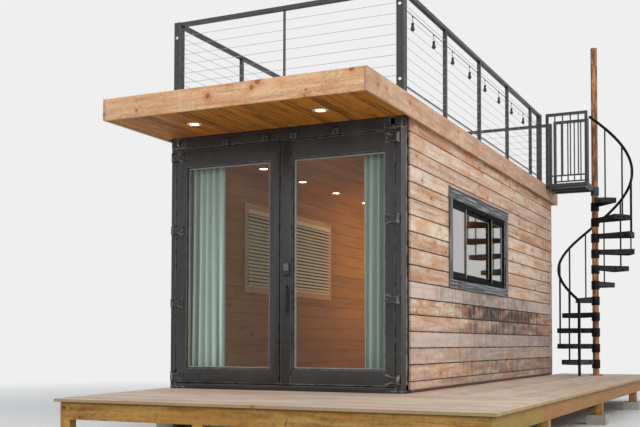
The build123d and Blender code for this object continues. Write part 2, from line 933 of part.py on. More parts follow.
def concrete_blocks():
    """A block under each stub, and a pier under each corner of the container."""
    blocks = [post(x[1], y[1], (ground_level, stub_foot), block_size) for x, y in supports()]
    z = (ground_level, container_base)
    for y in ((0, pier_size), (container_length - pier_size, container_length)):
        blocks += both_sides(slab((half_width - pier_size, half_width), y, z))
    return blocks


def curtain(side, gap, width):
    """The closed outline of a gathered curtain, a gap away from the side wall."""
    x = (side * (lining_face - gap - width), side * (lining_face - gap))
    return [slab(x, (curtain_y - curtain_depth / 2, curtain_y + curtain_depth / 2),
                 (floor_top + curtain_clear, curtain_top))]


def curtain_rod():
    z = curtain_top + rod_radius + soft_clear
    bar = Cylinder(rod_radius, 2 * lining_face)
    return [Pos(0, curtain_y, z) * (Rot(0, 90, 0) * bar)]


def hinge_strap(height):
    """A cranked strap on the right leaf, with two ribs that close towards its knuckle."""
    back = -pin_offset + knuckle_radius
    front = back - strap_thickness
    end = leaf_edge - strap_reach
    crank = leaf_edge - 2 * knuckle_radius
    z = (height - knuckle_height / 2, height + knuckle_height / 2)
    arm = plan([(crank - knuckle_radius, 0), (crank, back), (pin_x, back), (pin_x, front),
                (crank - knuckle_radius, front), (end, -strap_thickness), (end, 0)], z)
    pad = slab((end, crank - knuckle_radius), (-strap_thickness, 0),
               (height - strap_height / 2, height + strap_height / 2))
    strap = arm + pad + rod(pin_x, -pin_offset, z, knuckle_radius)
    for side in (-1, 1):
        low = height + side * (knuckle_height / 2 - strap_rib)
        far = height + side * (strap_height / 2 - strap_rib)
        outline = Polyline((crank, low - strap_rib), (crank, low + strap_rib), (end, far + strap_rib),
                           (end, far - strap_rib), close=True)
        strap += extrude(Plane.XZ * make_face(outline), strap_rib - front)
    bore = rod(pin_x, -pin_offset, (z[0] - overcut, z[1] + overcut), pin_radius + pin_play)
    return strap - bore


def leaf_opening(stiles, y, margin=0):
    """The opening between an inner and an outer stile, larger all round by the margin."""
    inner, outer = stiles
    x = (seam_gap / 2 + inner - margin, leaf_edge - outer + margin)
    return slab(x, y, (leaf_bottom + bottom_stile - margin, door_top - top_stile + margin))


def leaf(stiles):
    """A door leaf on the right: a steel frame with bead rings on both faces of the glass."""
    frame = slab((seam_gap / 2, leaf_edge), (0, leaf_depth), (leaf_bottom, door_top))
    frame -= leaf_opening(stiles, (-overcut, leaf_depth + overcut))
    back = glass_setback + glass_thickness
    for start, end in ((glass_setback - bead_depth, glass_setback), (back, leaf_depth)):
        ring = leaf_opening(stiles, (start, end))
        ring -= leaf_opening(stiles, (start - overcut, end + overcut), -bead_width)
        frame += ring
    for height in hinge_heights:
        frame += hinge_strap(height)
    return frame


def leaf_glass(stiles):
    return leaf_opening(stiles, (glass_setback, glass_setback + glass_thickness))


def door_right_frame():
    strip = slab((seam_gap / 2 + strip_edge, seam_gap / 2 + strip_edge + strip_width), (-strip_depth, 0),
                 (leaf_bottom, door_top))
    return [leaf(right_stiles) + strip]


def door_right_glass():
    return [leaf_glass(right_stiles)]


def door_left_frame():
    return [mirror(leaf(left_stiles), about=Plane.YZ)]


def door_left_glass():
    return [mirror(leaf_glass(left_stiles), about=Plane.YZ)]


def door_lock():
    y = (-strip_depth - lock_depth, -strip_depth)
    body = slab((fitting_x - lock_width / 2, fitting_x + lock_width / 2), y,
                (lock_height - lock_length / 2, lock_height + lock_length / 2))
    return [fillet(body.edges().filter_by(Axis.Y), lock_corner)]


def door_handle():
    """A long backplate with a bow handle standing off it."""
    face = -strip_depth
    plate = slab((fitting_x - handle_plate / 2, fitting_x + handle_plate / 2),
                 (face - handle_thickness, face), (handle_bottom, handle_top))
    out = face - handle_reach
    low = handle_bottom + handle_plate / 2
    high = handle_top - handle_plate / 2
    inner = (low + handle_grip, high - handle_grip)
    x = (fitting_x - handle_grip / 2, fitting_x + handle_grip / 2)
    bow = slab(x, (out, face - handle_thickness), (low, high))
    bow -= slab((x[0] - overcut, x[1] + overcut), (out + handle_grip, face), inner)
    return [plate + bow]


nodes = {
    "corner_castings": corner_castings(),
    "corner_posts": corner_posts(),
    "base_frame": base_frame(),
    "door_sill": door_sill(),
    "door_header": door_header(),
    "top_rails": top_rails(),
    "steel_walls": steel_walls(),
    "steel_roof": steel_roof(),
    "floor": floor(),
    "lining_left": [mirror(side_lining(), about=Plane.YZ)],
    "lining_right": [side_lining()],
    "lining_rear": rear_lining(),
    "ceiling": ceiling(),
    "recessed_lights": recessed_lights(),
    "cladding_left": [mirror(side_cladding(), about=Plane.YZ)],
    "cladding_right": [side_cladding()],
    "cladding_rear": rear_cladding(),
    "window_frames": both_sides(window_frame()),
    "window_glass": [side for solid in window_panes() for side in both_sides(solid)],
    "window_trim": [side for solid in window_trim() for side in both_sides(solid)],
    "window_blind": window_blind(),
    "roof_joists": roof_joists(),
    "roof_boards": roof_boards(),
    "roof_fascia": roof_fascia(),
    "roof_soffit": roof_soffit(),
    "roof_rail_front": roof_rail_front(),
    "roof_rail_right": roof_rail_right(),
    "roof_rail_left": roof_rail_left(),
    "roof_rail_rear": roof_rail_rear(),
    "light_lead": light_lead(),
    "string_lights": string_lights(),
    "landing": landing(),
    "landing_rail": landing_rail(),
    "stair_pole": stair_pole(),
    "stair_treads": stair_treads(),
    "stair_handrail": stair_handrail(),
    "stair_balusters": stair_balusters(),
    "deck_boards": deck_boards(),
    "deck_frame": deck_frame(),
    "support_stubs": support_stubs(),
    "concrete_blocks": concrete_blocks(),
    "curtain_left": curtain(-1, left_curtain_gap, left_curtain_width),
    "curtain_right": curtain(1, right_curtain_gap, right_curtain_width),
    "curtain_rod": curtain_rod(),
    "door_left_frame": door_left_frame(),
    "door_left_glass": door_left_glass(),
    "door_right_frame": door_right_frame(),
    "door_right_glass": door_right_glass(),
    "door_lock": door_lock(),
    "door_handle": door_handle(),
}

# The origin goes on the ground under the middle of the whole cabin.
pieces = [piece for solids in nodes.values() for solid in solids for piece in solid.solids()]
box = Compound(pieces).bounding_box()
origin = Vector((box.min.X + box.max.X) / 2, (box.min.Y + box.max.Y) / 2, box.min.Z)
os.makedirs("parts", exist_ok=True)
for name, solids in nodes.items():
    placed = [Pos(-origin.X, -origin.Y, -origin.Z) * solid for solid in solids]
    export_step(Compound(label=name, children=placed), f"parts/{name}.step")

print("origin in the building frame", origin)
print("size", box.size)
print("right hinge pin", pin_x - origin.X, -pin_offset - origin.Y)
print("left hinge pin", -pin_x - origin.X, -pin_offset - origin.Y)
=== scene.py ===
import json
import math
import random

import bmesh
import bpy
from mathutils import Matrix, Vector


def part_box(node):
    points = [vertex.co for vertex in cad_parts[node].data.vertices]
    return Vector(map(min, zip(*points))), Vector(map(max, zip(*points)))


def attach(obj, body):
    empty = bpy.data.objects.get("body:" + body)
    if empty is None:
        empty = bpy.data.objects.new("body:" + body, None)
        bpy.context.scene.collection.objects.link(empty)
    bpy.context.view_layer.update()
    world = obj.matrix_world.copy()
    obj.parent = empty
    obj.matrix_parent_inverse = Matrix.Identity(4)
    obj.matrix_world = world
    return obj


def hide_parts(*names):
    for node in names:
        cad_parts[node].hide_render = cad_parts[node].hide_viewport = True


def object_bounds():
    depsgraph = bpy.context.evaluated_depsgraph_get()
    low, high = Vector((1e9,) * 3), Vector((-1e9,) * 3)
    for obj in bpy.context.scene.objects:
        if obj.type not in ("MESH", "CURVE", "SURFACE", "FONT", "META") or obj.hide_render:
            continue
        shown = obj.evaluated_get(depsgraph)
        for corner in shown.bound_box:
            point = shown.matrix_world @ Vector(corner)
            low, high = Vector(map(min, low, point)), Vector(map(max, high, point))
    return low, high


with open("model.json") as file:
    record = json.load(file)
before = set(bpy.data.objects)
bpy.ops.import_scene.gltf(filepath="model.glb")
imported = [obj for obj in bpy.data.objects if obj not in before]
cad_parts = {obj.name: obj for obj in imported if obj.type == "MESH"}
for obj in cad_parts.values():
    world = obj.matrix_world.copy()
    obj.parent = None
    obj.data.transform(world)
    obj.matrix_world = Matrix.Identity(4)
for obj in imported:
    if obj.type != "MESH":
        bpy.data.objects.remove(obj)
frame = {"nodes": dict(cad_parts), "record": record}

random.seed(11)
cadLow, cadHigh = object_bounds()
print("frame loaded")


# Sizes below are in metres from the middle of the door end, at the height of the deck's walking face
cabinOrigin = Vector((-0.653, -2.395, 0.390))


def at(x, y, z):
    return cabinOrigin + Vector((x, y, z))


# Camera, light and floor

view = {
    "place": (3.6254, -10.5077, 0.8352),
    "turn": 25.4378,
    "tilt": 1.9963,
    "roll": 0.1102,
    "lens": 55.01,
    "shiftUp": 0.1493,
    "background": 0.86,
    "skyLight": 0.72,
    "skyColour": (0.93, 0.96, 1.0, 1),
    "softLamps": {"keyLamp": (520, (10.0, -6.0, 7.5)), "fillLamp": (190, (-4.0, -11.5, 7.5))},
    "lampSize": 6,
    "roomPower": 43,
    "roomPlace": (0.25, 4.5, 1.55),
    "roomColour": (1.0, 0.76, 0.46),
    "roomSoftness": 0.3,
    "floorSize": 120,
    "floorFade": (5.0, 13.0),
}


def turned(degrees, axis):
    return Matrix.Rotation(math.radians(degrees), 4, axis)


def newLight(name, kind):
    lamp = bpy.data.objects.new(name, bpy.data.lights.new(name, kind))
    bpy.context.collection.objects.link(lamp)
    return lamp


def placeCamera():
    camera = bpy.data.objects.new("photoCamera", bpy.data.cameras.new("photoCamera"))
    bpy.context.collection.objects.link(camera)
    camera.data.lens = view["lens"]
    camera.data.shift_y = view["shiftUp"]
    camera.data.clip_end = 400
    turn = turned(view["turn"], "Z") @ turned(90 + view["tilt"], "X") @ turned(view["roll"], "Z")
    camera.matrix_world = Matrix.Translation(view["place"]) @ turn
    bpy.context.scene.camera = camera


def lightStudio():
    world = bpy.data.worlds.new("studio")
    bpy.context.scene.world = world
    world.use_nodes = True
    tree = world.node_tree
    seen = tree.nodes.new("ShaderNodeLightPath")
    direct = maths(tree, "MAXIMUM", seen.outputs["Is Camera Ray"], seen.outputs["Is Glossy Ray"])
    direct = maths(tree, "MAXIMUM", direct, seen.outputs["Is Transmission Ray"])
    level = view["background"]
    background = tree.nodes["Background"]
    sky = mixed(tree, direct, view["skyColour"], (level, level, level, 1))
    join(tree, sky, background.inputs["Color"])
    strength = scaled(tree, direct, 1 - view["skyLight"], view["skyLight"])
    join(tree, strength, background.inputs["Strength"])
    middle = (cadLow + cadHigh) / 2
    for name, (power, place) in view["softLamps"].items():
        lamp = newLight(name, "AREA")
        lamp.data.energy = power
        lamp.data.size = view["lampSize"]
        lamp.location = place
        lamp.rotation_euler = (middle - Vector(place)).to_track_quat("-Z", "Y").to_euler()
    glow = newLight("roomGlow", "POINT")
    glow.location = at(*view["roomPlace"])
    glow.data.energy = view["roomPower"]
    glow.data.shadow_soft_size = view["roomSoftness"]
    glow.data.color = view["roomColour"]
    glow.visible_camera = False
    glow.visible_glossy = False
    glow.visible_transmission = False
    bpy.context.scene.view_settings.view_transform = "Standard"


def layFloor():
    deselectAll()
    bpy.ops.mesh.primitive_plane_add(size=view["floorSize"])
    ground = bpy.context.object
    ground.name = "studioFloor"
    ground.data.materials.append(studioFloor())


# Shader helpers

def colour(red, green, blue):
    # written as it reads in a picture, 0 to 255
    def linear(value):
        share = value / 255
        return share / 12.92 if share <= 0.04045 else ((share + 0.055) / 1.055) ** 2.4
    return (linear(red), linear(green), linear(blue), 1)


def join(tree, value, socket):
    if isinstance(value, bpy.types.NodeSocket):
        tree.links.new(value, socket)
    else:
        socket.default_value = value


def maths(tree, operation, first, second=0.0, third=None):
    node = tree.nodes.new("ShaderNodeMath")
    node.operation = operation
    join(tree, first, node.inputs[0])
    join(tree, second, node.inputs[1])
    if third is not None:
        join(tree, third, node.inputs[2])
    return node.outputs[0]


def plus(tree, first, second):
    return maths(tree, "ADD", first, second)


def minus(tree, first, second):
    return maths(tree, "SUBTRACT", first, second)


def times(tree, first, second):
    return maths(tree, "MULTIPLY", first, second)


def scaled(tree, value, factor, shift):
    return maths(tree, "MULTIPLY_ADD", value, factor, shift)


def mixed(tree, share, first, second):
    node = tree.nodes.new("ShaderNodeMix")
    node.data_type = "RGBA"
    join(tree, share, node.inputs[0])
    join(tree, first, node.inputs[6])
    join(tree, second, node.inputs[7])
    return node.outputs[2]


def tinted(tree, shade, mask, share, tint):
    # lays a tint over the shade where the mask is, by this share at most
    return mixed(tree, times(tree, mask, share), shade, colour(*tint))


def eased(tree, value, start, end):
    # 0 at start, 1 at end, smooth between, and start may be the larger
    node = tree.nodes.new("ShaderNodeMapRange")
    node.interpolation_type = "SMOOTHSTEP"
    join(tree, value, node.inputs[0])
    join(tree, min(start, end), node.inputs[1])
    join(tree, max(start, end), node.inputs[2])
    join(tree, 0.0 if start < end else 1.0, node.inputs[3])
    join(tree, 1.0 if start < end else 0.0, node.inputs[4])
    return node.outputs[0]


def stretchedSpace(tree, space, scale, offset=(0, 0, 0)):
    node = tree.nodes.new("ShaderNodeMapping")
    join(tree, space, node.inputs["Vector"])
    node.inputs["Scale"].default_value = scale
    node.inputs["Location"].default_value = offset
    return node.outputs[0]


def cloudy(tree, space, scale, detail, distortion=0.0, offset=(0, 0, 0)):
    # soft noise, 0 to 1, and three scales stretch it along the three axes
    if isinstance(scale, tuple):
        space, scale = stretchedSpace(tree, space, scale, offset), 1.0
    node = tree.nodes.new("ShaderNodeTexNoise")
    join(tree, space, node.inputs["Vector"])
    node.inputs["Scale"].default_value = scale
    node.inputs["Detail"].default_value = detail
    node.inputs["Distortion"].default_value = distortion
    return node.outputs["Fac"]


def axesOf(tree, vector):
    node = tree.nodes.new("ShaderNodeSeparateXYZ")
    join(tree, vector, node.inputs[0])
    return node.outputs


def vectorOf(tree, along, across, deep):
    node = tree.nodes.new("ShaderNodeCombineXYZ")
    join(tree, along, node.inputs[0])
    join(tree, across, node.inputs[1])
    join(tree, deep, node.inputs[2])
    return node.outputs[0]


def clamped(tree, value):
    node = tree.nodes.new("ShaderNodeClamp")
    join(tree, value, node.inputs[0])
    return node.outputs[0]


def apart(tree, first, second):
    node = tree.nodes.new("ShaderNodeVectorMath")
    node.operation = "DISTANCE"
    join(tree, first, node.inputs[0])
    join(tree, second, node.inputs[1])
    return node.outputs["Value"]


def objectSpace(tree):
    return tree.nodes.new("ShaderNodeTexCoord").outputs["Object"]


def carried(tree, name, output):
    node = tree.nodes.new("ShaderNodeAttribute")
    node.attribute_name = name
    return node.outputs[output]


def newMaterial(name, roughness, metallic=0.0):
    material = bpy.data.materials.new(name)
    material.use_nodes = True
    shader = material.node_tree.nodes["Principled BSDF"]
    shader.inputs["Roughness"].default_value = roughness
    shader.inputs["Metallic"].default_value = metallic
    return material, material.node_tree, shader


def raised(tree, shader, height, strength, distance):
    bump = tree.nodes.new("ShaderNodeBump")
    bump.inputs["Strength"].default_value = strength
    bump.inputs["Distance"].default_value = distance
    join(tree, height, bump.inputs["Height"])
    join(tree, bump.outputs["Normal"], shader.inputs["Normal"])


def blended(tree, share, first, second):
    # the surface shows the first shader, and the second one by this share
    either = tree.nodes.new("ShaderNodeMixShader")
    for value, socket in zip((share, first.outputs[0], second.outputs[0]), either.inputs):
        join(tree, value, socket)
    join(tree, either.outputs[0], tree.nodes["Material Output"].inputs["Surface"])


def newGroup(name, inputs, outputs):
    group = bpy.data.node_groups.new(name, "ShaderNodeTree")
    for way, sockets in (("INPUT", inputs), ("OUTPUT", outputs)):
        for label, kind in sockets.items():
            group.interface.new_socket(name=label, in_out=way, socket_type="NodeSocket" + kind)
    start = group.nodes.new("NodeGroupInput").outputs
    end = group.nodes.new("NodeGroupOutput").inputs
    return group, start, end


def placed(tree, group, **values):
    node = tree.nodes.new("ShaderNodeGroup")
    node.node_tree = group
    for label, value in values.items():
        join(tree, value, node.inputs[label])
    return node.outputs


# Effects that several finishes share

woodLook = {
    "cells": (4.4, 6.4, 4.4), "knot": (0.13, 0.05), "halo": (0.42, 0.04), "bend": 0.020,
    "ringSpace": (0.55, 9.0), "ringDepth": 0.42, "haloDepth": 0.30,
    "warmSpots": (1.8, 5, 5), "flecks": (20, 26, 26),
    # stretch, detail, middle and weight of each layer that darkens the wood
    "layers": {"streaks": ((1.3, 30, 30), 5, 0.45, 1.5), "fibre": ((9, 330, 330), 3, 0.5, 1.1),
               "patches": ((2.2, 7, 7), 4, 0.5, 1.2), "mottle": ((30, 42, 42), 4, 0.5, 1.5)},
}


def woodGrainGroup():
    # flat-sawn rings that bend round knots, streaks along the board and warm patches
    inputs = {"Grain": "Vector", "Light": "Color", "Dark": "Color", "Warm": "Color", "KnotColour": "Color"}
    inputs.update({name: "Float" for name in ("Tone", "Rings", "Contrast", "Knots", "Spread")})
    tree, given, out = newGroup("woodGrain", inputs, {"Color": "Color", "Height": "Float"})
    own = given["Grain"]
    along, across, deep = axesOf(tree, own)
    cells = tree.nodes.new("ShaderNodeTexVoronoi")
    join(tree, stretchedSpace(tree, own, woodLook["cells"]), cells.inputs["Vector"])
    cells.inputs["Scale"].default_value = 1
    present = maths(tree, "LESS_THAN", axesOf(tree, cells.outputs["Color"])[0], given["Knots"])
    ragged = scaled(tree, cloudy(tree, own, 45, 3), 0.10, -0.05)
    distance = plus(tree, cells.outputs["Distance"], ragged)
    knot = times(tree, eased(tree, distance, *woodLook["knot"]), present)
    halo = times(tree, eased(tree, distance, *woodLook["halo"]), present)
    long, wide = woodLook["ringSpace"]
    bent = scaled(tree, halo, woodLook["bend"], across)
    ringSpace = vectorOf(tree, times(tree, along, long), times(tree, bent, wide), times(tree, deep, wide))
    wave = times(tree, cloudy(tree, ringSpace, 1.0, 1.8, 0.25), given["Rings"])
    rings = maths(tree, "POWER", scaled(tree, maths(tree, "SINE", wave), 0.5, 0.5), 1.6)
    depth = times(tree, rings, woodLook["ringDepth"])
    layers = {}
    for name, (stretch, detail, middle, weight) in woodLook["layers"].items():
        layers[name] = cloudy(tree, own, stretch, detail)
        depth = scaled(tree, minus(tree, layers[name], middle), weight, depth)
    depth = times(tree, scaled(tree, halo, woodLook["haloDepth"], depth), given["Contrast"])
    board = times(tree, minus(tree, given["Tone"], 0.4), given["Spread"])
    shade = mixed(tree, clamped(tree, plus(tree, depth, board)), given["Light"], given["Dark"])
    glow = cloudy(tree, own, woodLook["warmSpots"], 4, offset=(7, 3, 1))
    warmth = scaled(tree, halo, 0.8, eased(tree, glow, 0.47, 0.72))
    shade = mixed(tree, times(tree, warmth, 0.7), shade, given["Warm"])
    flecks = eased(tree, cloudy(tree, own, woodLook["flecks"], 3, offset=(2, 9, 4)), 0.64, 0.72)
    marks = scaled(tree, flecks, 0.30, times(tree, knot, 0.92))
    join(tree, mixed(tree, marks, shade, given["KnotColour"]), out["Color"])
    height = scaled(tree, layers["fibre"], 0.6, times(tree, rings, -0.25))
    join(tree, scaled(tree, knot, -0.4, height), out["Height"])
    return tree


def weatherGroup():
    # long drips down a face and a soft cloud of dirt, both 0 to 1
    tree, given, out = newGroup("weather", {"Space": "Vector"}, {"Drips": "Float", "Dirt": "Float"})
    join(tree, eased(tree, cloudy(tree, given["Space"], (9, 9, 0.8), 4, 0.3), 0.43, 0.68), out["Drips"])
    join(tree, eased(tree, cloudy(tree, given["Space"], (1.4, 1.4, 2.2), 5), 0.38, 0.70), out["Dirt"])
    return tree


def scuffGroup():
    # fine dust, chips and a brushed skin for painted metal
    tree, given, out = newGroup("scuffs", {"Space": "Vector", "Amount": "Float"},
                                {"Dust": "Float", "Chips": "Float", "Height": "Float"})
    join(tree, eased(tree, cloudy(tree, given["Space"], 2.3, 6), 0.40, 0.75), out["Dust"])
    pits = cloudy(tree, given["Space"], (26, 26, 14), 6)
    join(tree, maths(tree, "GREATER_THAN", pits, scaled(tree, given["Amount"], -0.16, 0.78)), out["Chips"])
    skin, waves = cloudy(tree, given["Space"], 420, 2), cloudy(tree, given["Space"], 5, 1)
    join(tree, scaled(tree, waves, 4.0, skin), out["Height"])
    return tree


def cornersGroup():
    # outer arrises, where a coat is rubbed thin, and inner corners, where painted shade darkens the coat
    # along with some dirt
    tree, given, out = newGroup("corners", {"Space": "Vector"}, {"Edge": "Float", "CornerShade": "Float"})
    masks = []
    for inside, reach in ((True, 0.009), (False, 0.035)):
        corners = tree.nodes.new("ShaderNodeAmbientOcclusion")
        corners.inside = inside
        corners.only_local = inside
        corners.samples = 4
        corners.inputs["Distance"].default_value = reach
        masks.append(corners.outputs["AO"])
    breaks = eased(tree, cloudy(tree, given["Space"], 17, 5), 0.34, 0.58)
    join(tree, times(tree, eased(tree, masks[0], 0.95, 0.5), breaks), out["Edge"])
    join(tree, eased(tree, masks[1], 0.80, 0.25), out["CornerShade"])
    return tree


woodGrain = woodGrainGroup()
weather = weatherGroup()
scuffs = scuffGroup()
corners = cornersGroup()


# Finishes

def studioFloor():
    # the floor runs out into the background, so no horizon shows
    material, tree, shader = newMaterial("studioFloor", 0.9)
    shader.inputs["Specular IOR Level"].default_value = 0.1
    space = objectSpace(tree)
    shade = mixed(tree, cloudy(tree, space, 0.3, 2), (0.80, 0.80, 0.79, 1), (0.84, 0.84, 0.83, 1))
    join(tree, shade, shader.inputs["Base Color"])
    across, back, _ = axesOf(tree, space)
    reach = maths(tree, "SQRT", plus(tree, times(tree, across, across), times(tree, back, back)))
    far = tree.nodes.new("ShaderNodeEmission")
    far.inputs["Color"].default_value = (*[view["background"]] * 3, 1)
    blended(tree, eased(tree, reach, *view["floorFade"]), shader, far)
    return material


timber = {
    "cedar": {
        "light": (232, 211, 188), "dark": (160, 117, 86), "warm": (206, 141, 86), "knot": (78, 38, 20),
        "rings": 26, "contrast": 0.80, "knots": 0.85, "spread": 0.62, "roughness": 0.66,
    },
    "fascia": {
        "light": (226, 185, 144), "dark": (176, 120, 76), "warm": (206, 142, 86), "knot": (104, 54, 30),
        "rings": 30, "contrast": 0.85, "knots": 0.46, "spread": 0.2, "roughness": 0.6,
    },
    "soffit": {
        "light": (192, 124, 46), "dark": (104, 62, 16), "warm": (198, 120, 34), "knot": (36, 18, 6),
        "rings": 34, "contrast": 0.90, "knots": 0.6, "spread": 0.75, "roughness": 0.6,
    },
    "terrace": {
        "light": (206, 186, 156), "dark": (152, 126, 98), "warm": (196, 160, 116), "knot": (104, 74, 48),
        "rings": 22, "contrast": 0.6, "knots": 0.22, "spread": 0.4, "roughness": 0.75,
    },
    "deck": {
        "light": (220, 200, 180), "dark": (168, 142, 122), "warm": (204, 168, 136), "knot": (120, 84, 60),
        "rings": 26, "contrast": 0.6, "knots": 0.2, "spread": 0.5, "roughness": 0.74,
    },
    "rim": {
        "light": (192, 150, 78), "dark": (126, 84, 36), "warm": (182, 126, 58), "knot": (92, 56, 26),
        "rings": 46, "contrast": 0.8, "knots": 0.5, "spread": 0.3, "roughness": 0.7,
    },
    "wallBoards": {
        "light": (184, 134, 70), "dark": (122, 80, 34), "warm": (174, 112, 46), "knot": (84, 48, 24),
        "rings": 20, "contrast": 0.5, "knots": 0.34, "spread": 0.4, "roughness": 0.5,
    },
    "ceilingBoards": {
        "light": (214, 152, 88), "dark": (156, 96, 44), "warm": (206, 134, 62), "knot": (88, 46, 20),
        "rings": 24, "contrast": 0.7, "knots": 0.4, "spread": 0.5, "roughness": 0.42,
    },
    "casing": {
        "light": (222, 186, 142), "dark": (178, 136, 92), "warm": (206, 154, 100), "knot": (110, 70, 40),
        "rings": 20, "contrast": 0.6, "knots": 0.3, "spread": 0.3, "roughness": 0.5,
    },
    "floorBoards": {
        "light": (118, 84, 56), "dark": (72, 48, 32), "warm": (108, 68, 40), "knot": (44, 26, 16),
        "rings": 26, "contrast": 0.8, "knots": 0.2, "spread": 0.5, "roughness": 0.35,
    },
}


def woodBase(name, wood):
    material, tree, shader = newMaterial(name, wood["roughness"])
    shader.inputs["Specular IOR Level"].default_value = 0.3
    tints = {label: colour(*wood[key]) for label, key in
             (("Light", "light"), ("Dark", "dark"), ("Warm", "warm"), ("KnotColour", "knot"))}
    levels = {key.capitalize(): float(wood[key]) for key in ("rings", "contrast", "knots", "spread")}
    grain = placed(tree, woodGrain, Grain=carried(tree, "grain", "Vector"),
                   Tone=carried(tree, "tone", "Fac"), **tints, **levels)
    raised(tree, shader, grain["Height"], 0.4, 0.002)
    return material, tree, shader, grain


def plainWood(key):
    material, tree, shader, grain = woodBase(key, timber[key])
    join(tree, grain["Color"], shader.inputs["Base Color"])
    return material


fasciaKnots = {
    # x, y, z of the middle and its radius
    "places": ((-0.185, -0.990, 2.571, 0.021), (0.248, -0.990, 2.598, 0.018), (0.305, -0.990, 2.642, 0.024),
               (1.166, -0.990, 2.648, 0.020), (-0.930, -0.990, 2.520, 0.010), (0.760, -0.990, 2.520, 0.008),
               (1.301, -0.758, 2.556, 0.017), (1.301, -0.003, 2.575, 0.018), (1.301, 1.420, 2.600, 0.014),
               (1.301, 3.150, 2.540, 0.016)),
    "eye": (122, 66, 38), "halo": (196, 118, 66),
}


def bigKnots(tree, space, shade):
    # the few large knots that stand out, each with a dark rim and an orange halo round it
    wobble = scaled(tree, cloudy(tree, space, 60, 3), 0.016, -0.008)
    for x, y, z, radius in fasciaKnots["places"]:
        gap = plus(tree, apart(tree, space, at(x, y, z)), wobble)
        shade = tinted(tree, shade, eased(tree, gap, radius * 3.6, radius * 0.9), 0.6, fasciaKnots["halo"])
        rim = scaled(tree, eased(tree, gap, radius * 0.2, radius * 0.9), 0.45, 0.5)
        eye = times(tree, eased(tree, gap, radius * 1.15, radius * 0.8), rim)
        shade = mixed(tree, eye, shade, colour(*fasciaKnots["eye"]))
    return shade


stainLook = {
    "streaks": 15, "streakDrop": 3.0, "edge": 0.90, "rearward": (3.4, 6.2), "rearwardShare": 0.22,
    "grey": (204, 186, 178), "dark": (64, 48, 42), "soot": (104, 92, 92), "orange": (192, 120, 66),
    # how dark a soaked place is at least, and what strokes, blotches and fine marks add
    "soaked": 0.34, "strokes": (0.36, 0.62, 0.50), "blotches": (0.36, 0.60, 0.40),
    "marks": (0.40, 0.66, 0.16),
}


def weatheredWood(key):
    # each board carries its own wear: how bleached, soaked and orange it is, and where it is soaked
    material, tree, shader, grain = woodBase(key, timber[key])
    space = objectSpace(tree)
    own = carried(tree, "grain", "Vector")
    bleached, soaked, orange = axesOf(tree, carried(tree, "wear", "Vector"))
    wetFrom, wetTo, sooty = axesOf(tree, carried(tree, "wet", "Vector"))
    along = minus(tree, axesOf(tree, space)[1], cabinOrigin.y)
    streaks, drop = stainLook["streaks"], stainLook["streakDrop"]
    ownStrokes = cloudy(tree, own, (streaks, drop, drop), 5, 0.5)
    wallStrokes = cloudy(tree, space, (streaks, streaks, 2.0), 4, 0.3)
    strokes = scaled(tree, ownStrokes, 0.65, times(tree, wallStrokes, 0.35))
    fine = cloudy(tree, own, (75, 8, 8), 3)
    blotch = cloudy(tree, own, (3.0, 9, 9), 5)
    patch = eased(tree, cloudy(tree, own, (2.6, 13, 13), 5, 0.6, offset=(3, 5, 2)), 0.48, 0.64)
    # the boards turn more orange towards the rear end of the wall
    rearward = times(tree, eased(tree, along, *stainLook["rearward"]), stainLook["rearwardShare"])
    ruddy = maths(tree, "MAXIMUM", times(tree, patch, orange), rearward)
    shade = mixed(tree, ruddy, grain["Color"], colour(*stainLook["orange"]))
    bleach = times(tree, bleached, scaled(tree, fine, 0.8, times(tree, strokes, 0.7)))
    shade = mixed(tree, bleach, shade, colour(*stainLook["grey"]))
    ragged = scaled(tree, blotch, 1.8, scaled(tree, strokes, 1.6, -1.7))
    near = plus(tree, minus(tree, along, wetFrom), ragged)
    far = plus(tree, minus(tree, wetTo, along), ragged)
    edge = stainLook["edge"]
    wet = times(tree, eased(tree, near, -edge, edge), eased(tree, far, -edge, edge))
    depth = stainLook["soaked"]
    for layer, name in ((strokes, "strokes"), (blotch, "blotches"), (fine, "marks")):
        start, end, weight = stainLook[name]
        depth = scaled(tree, eased(tree, layer, start, end), weight, depth)
    dark = clamped(tree, times(tree, times(tree, wet, soaked), depth))
    tint = mixed(tree, sooty, colour(*stainLook["dark"]), colour(*stainLook["soot"]))
    shade = mixed(tree, dark, shade, tint)
    if key == "fascia":
        shade = bigKnots(tree, space, shade)
    join(tree, shade, shader.inputs["Base Color"])
    return material


rimLook = {
    "rightFrom": 2.54, "joint": -0.432, "jointWidth": (0.005, 0.002), "nosingShadow": (0.020, 0.004),
    "split": (1.079, -0.101), "splitWidth": (0.0075, 0.0025), "splitHeight": (0.03, 0.01), "slant": -0.35,
    "green": (146, 124, 68), "pink": (156, 112, 74), "dark": (84, 62, 40),
}


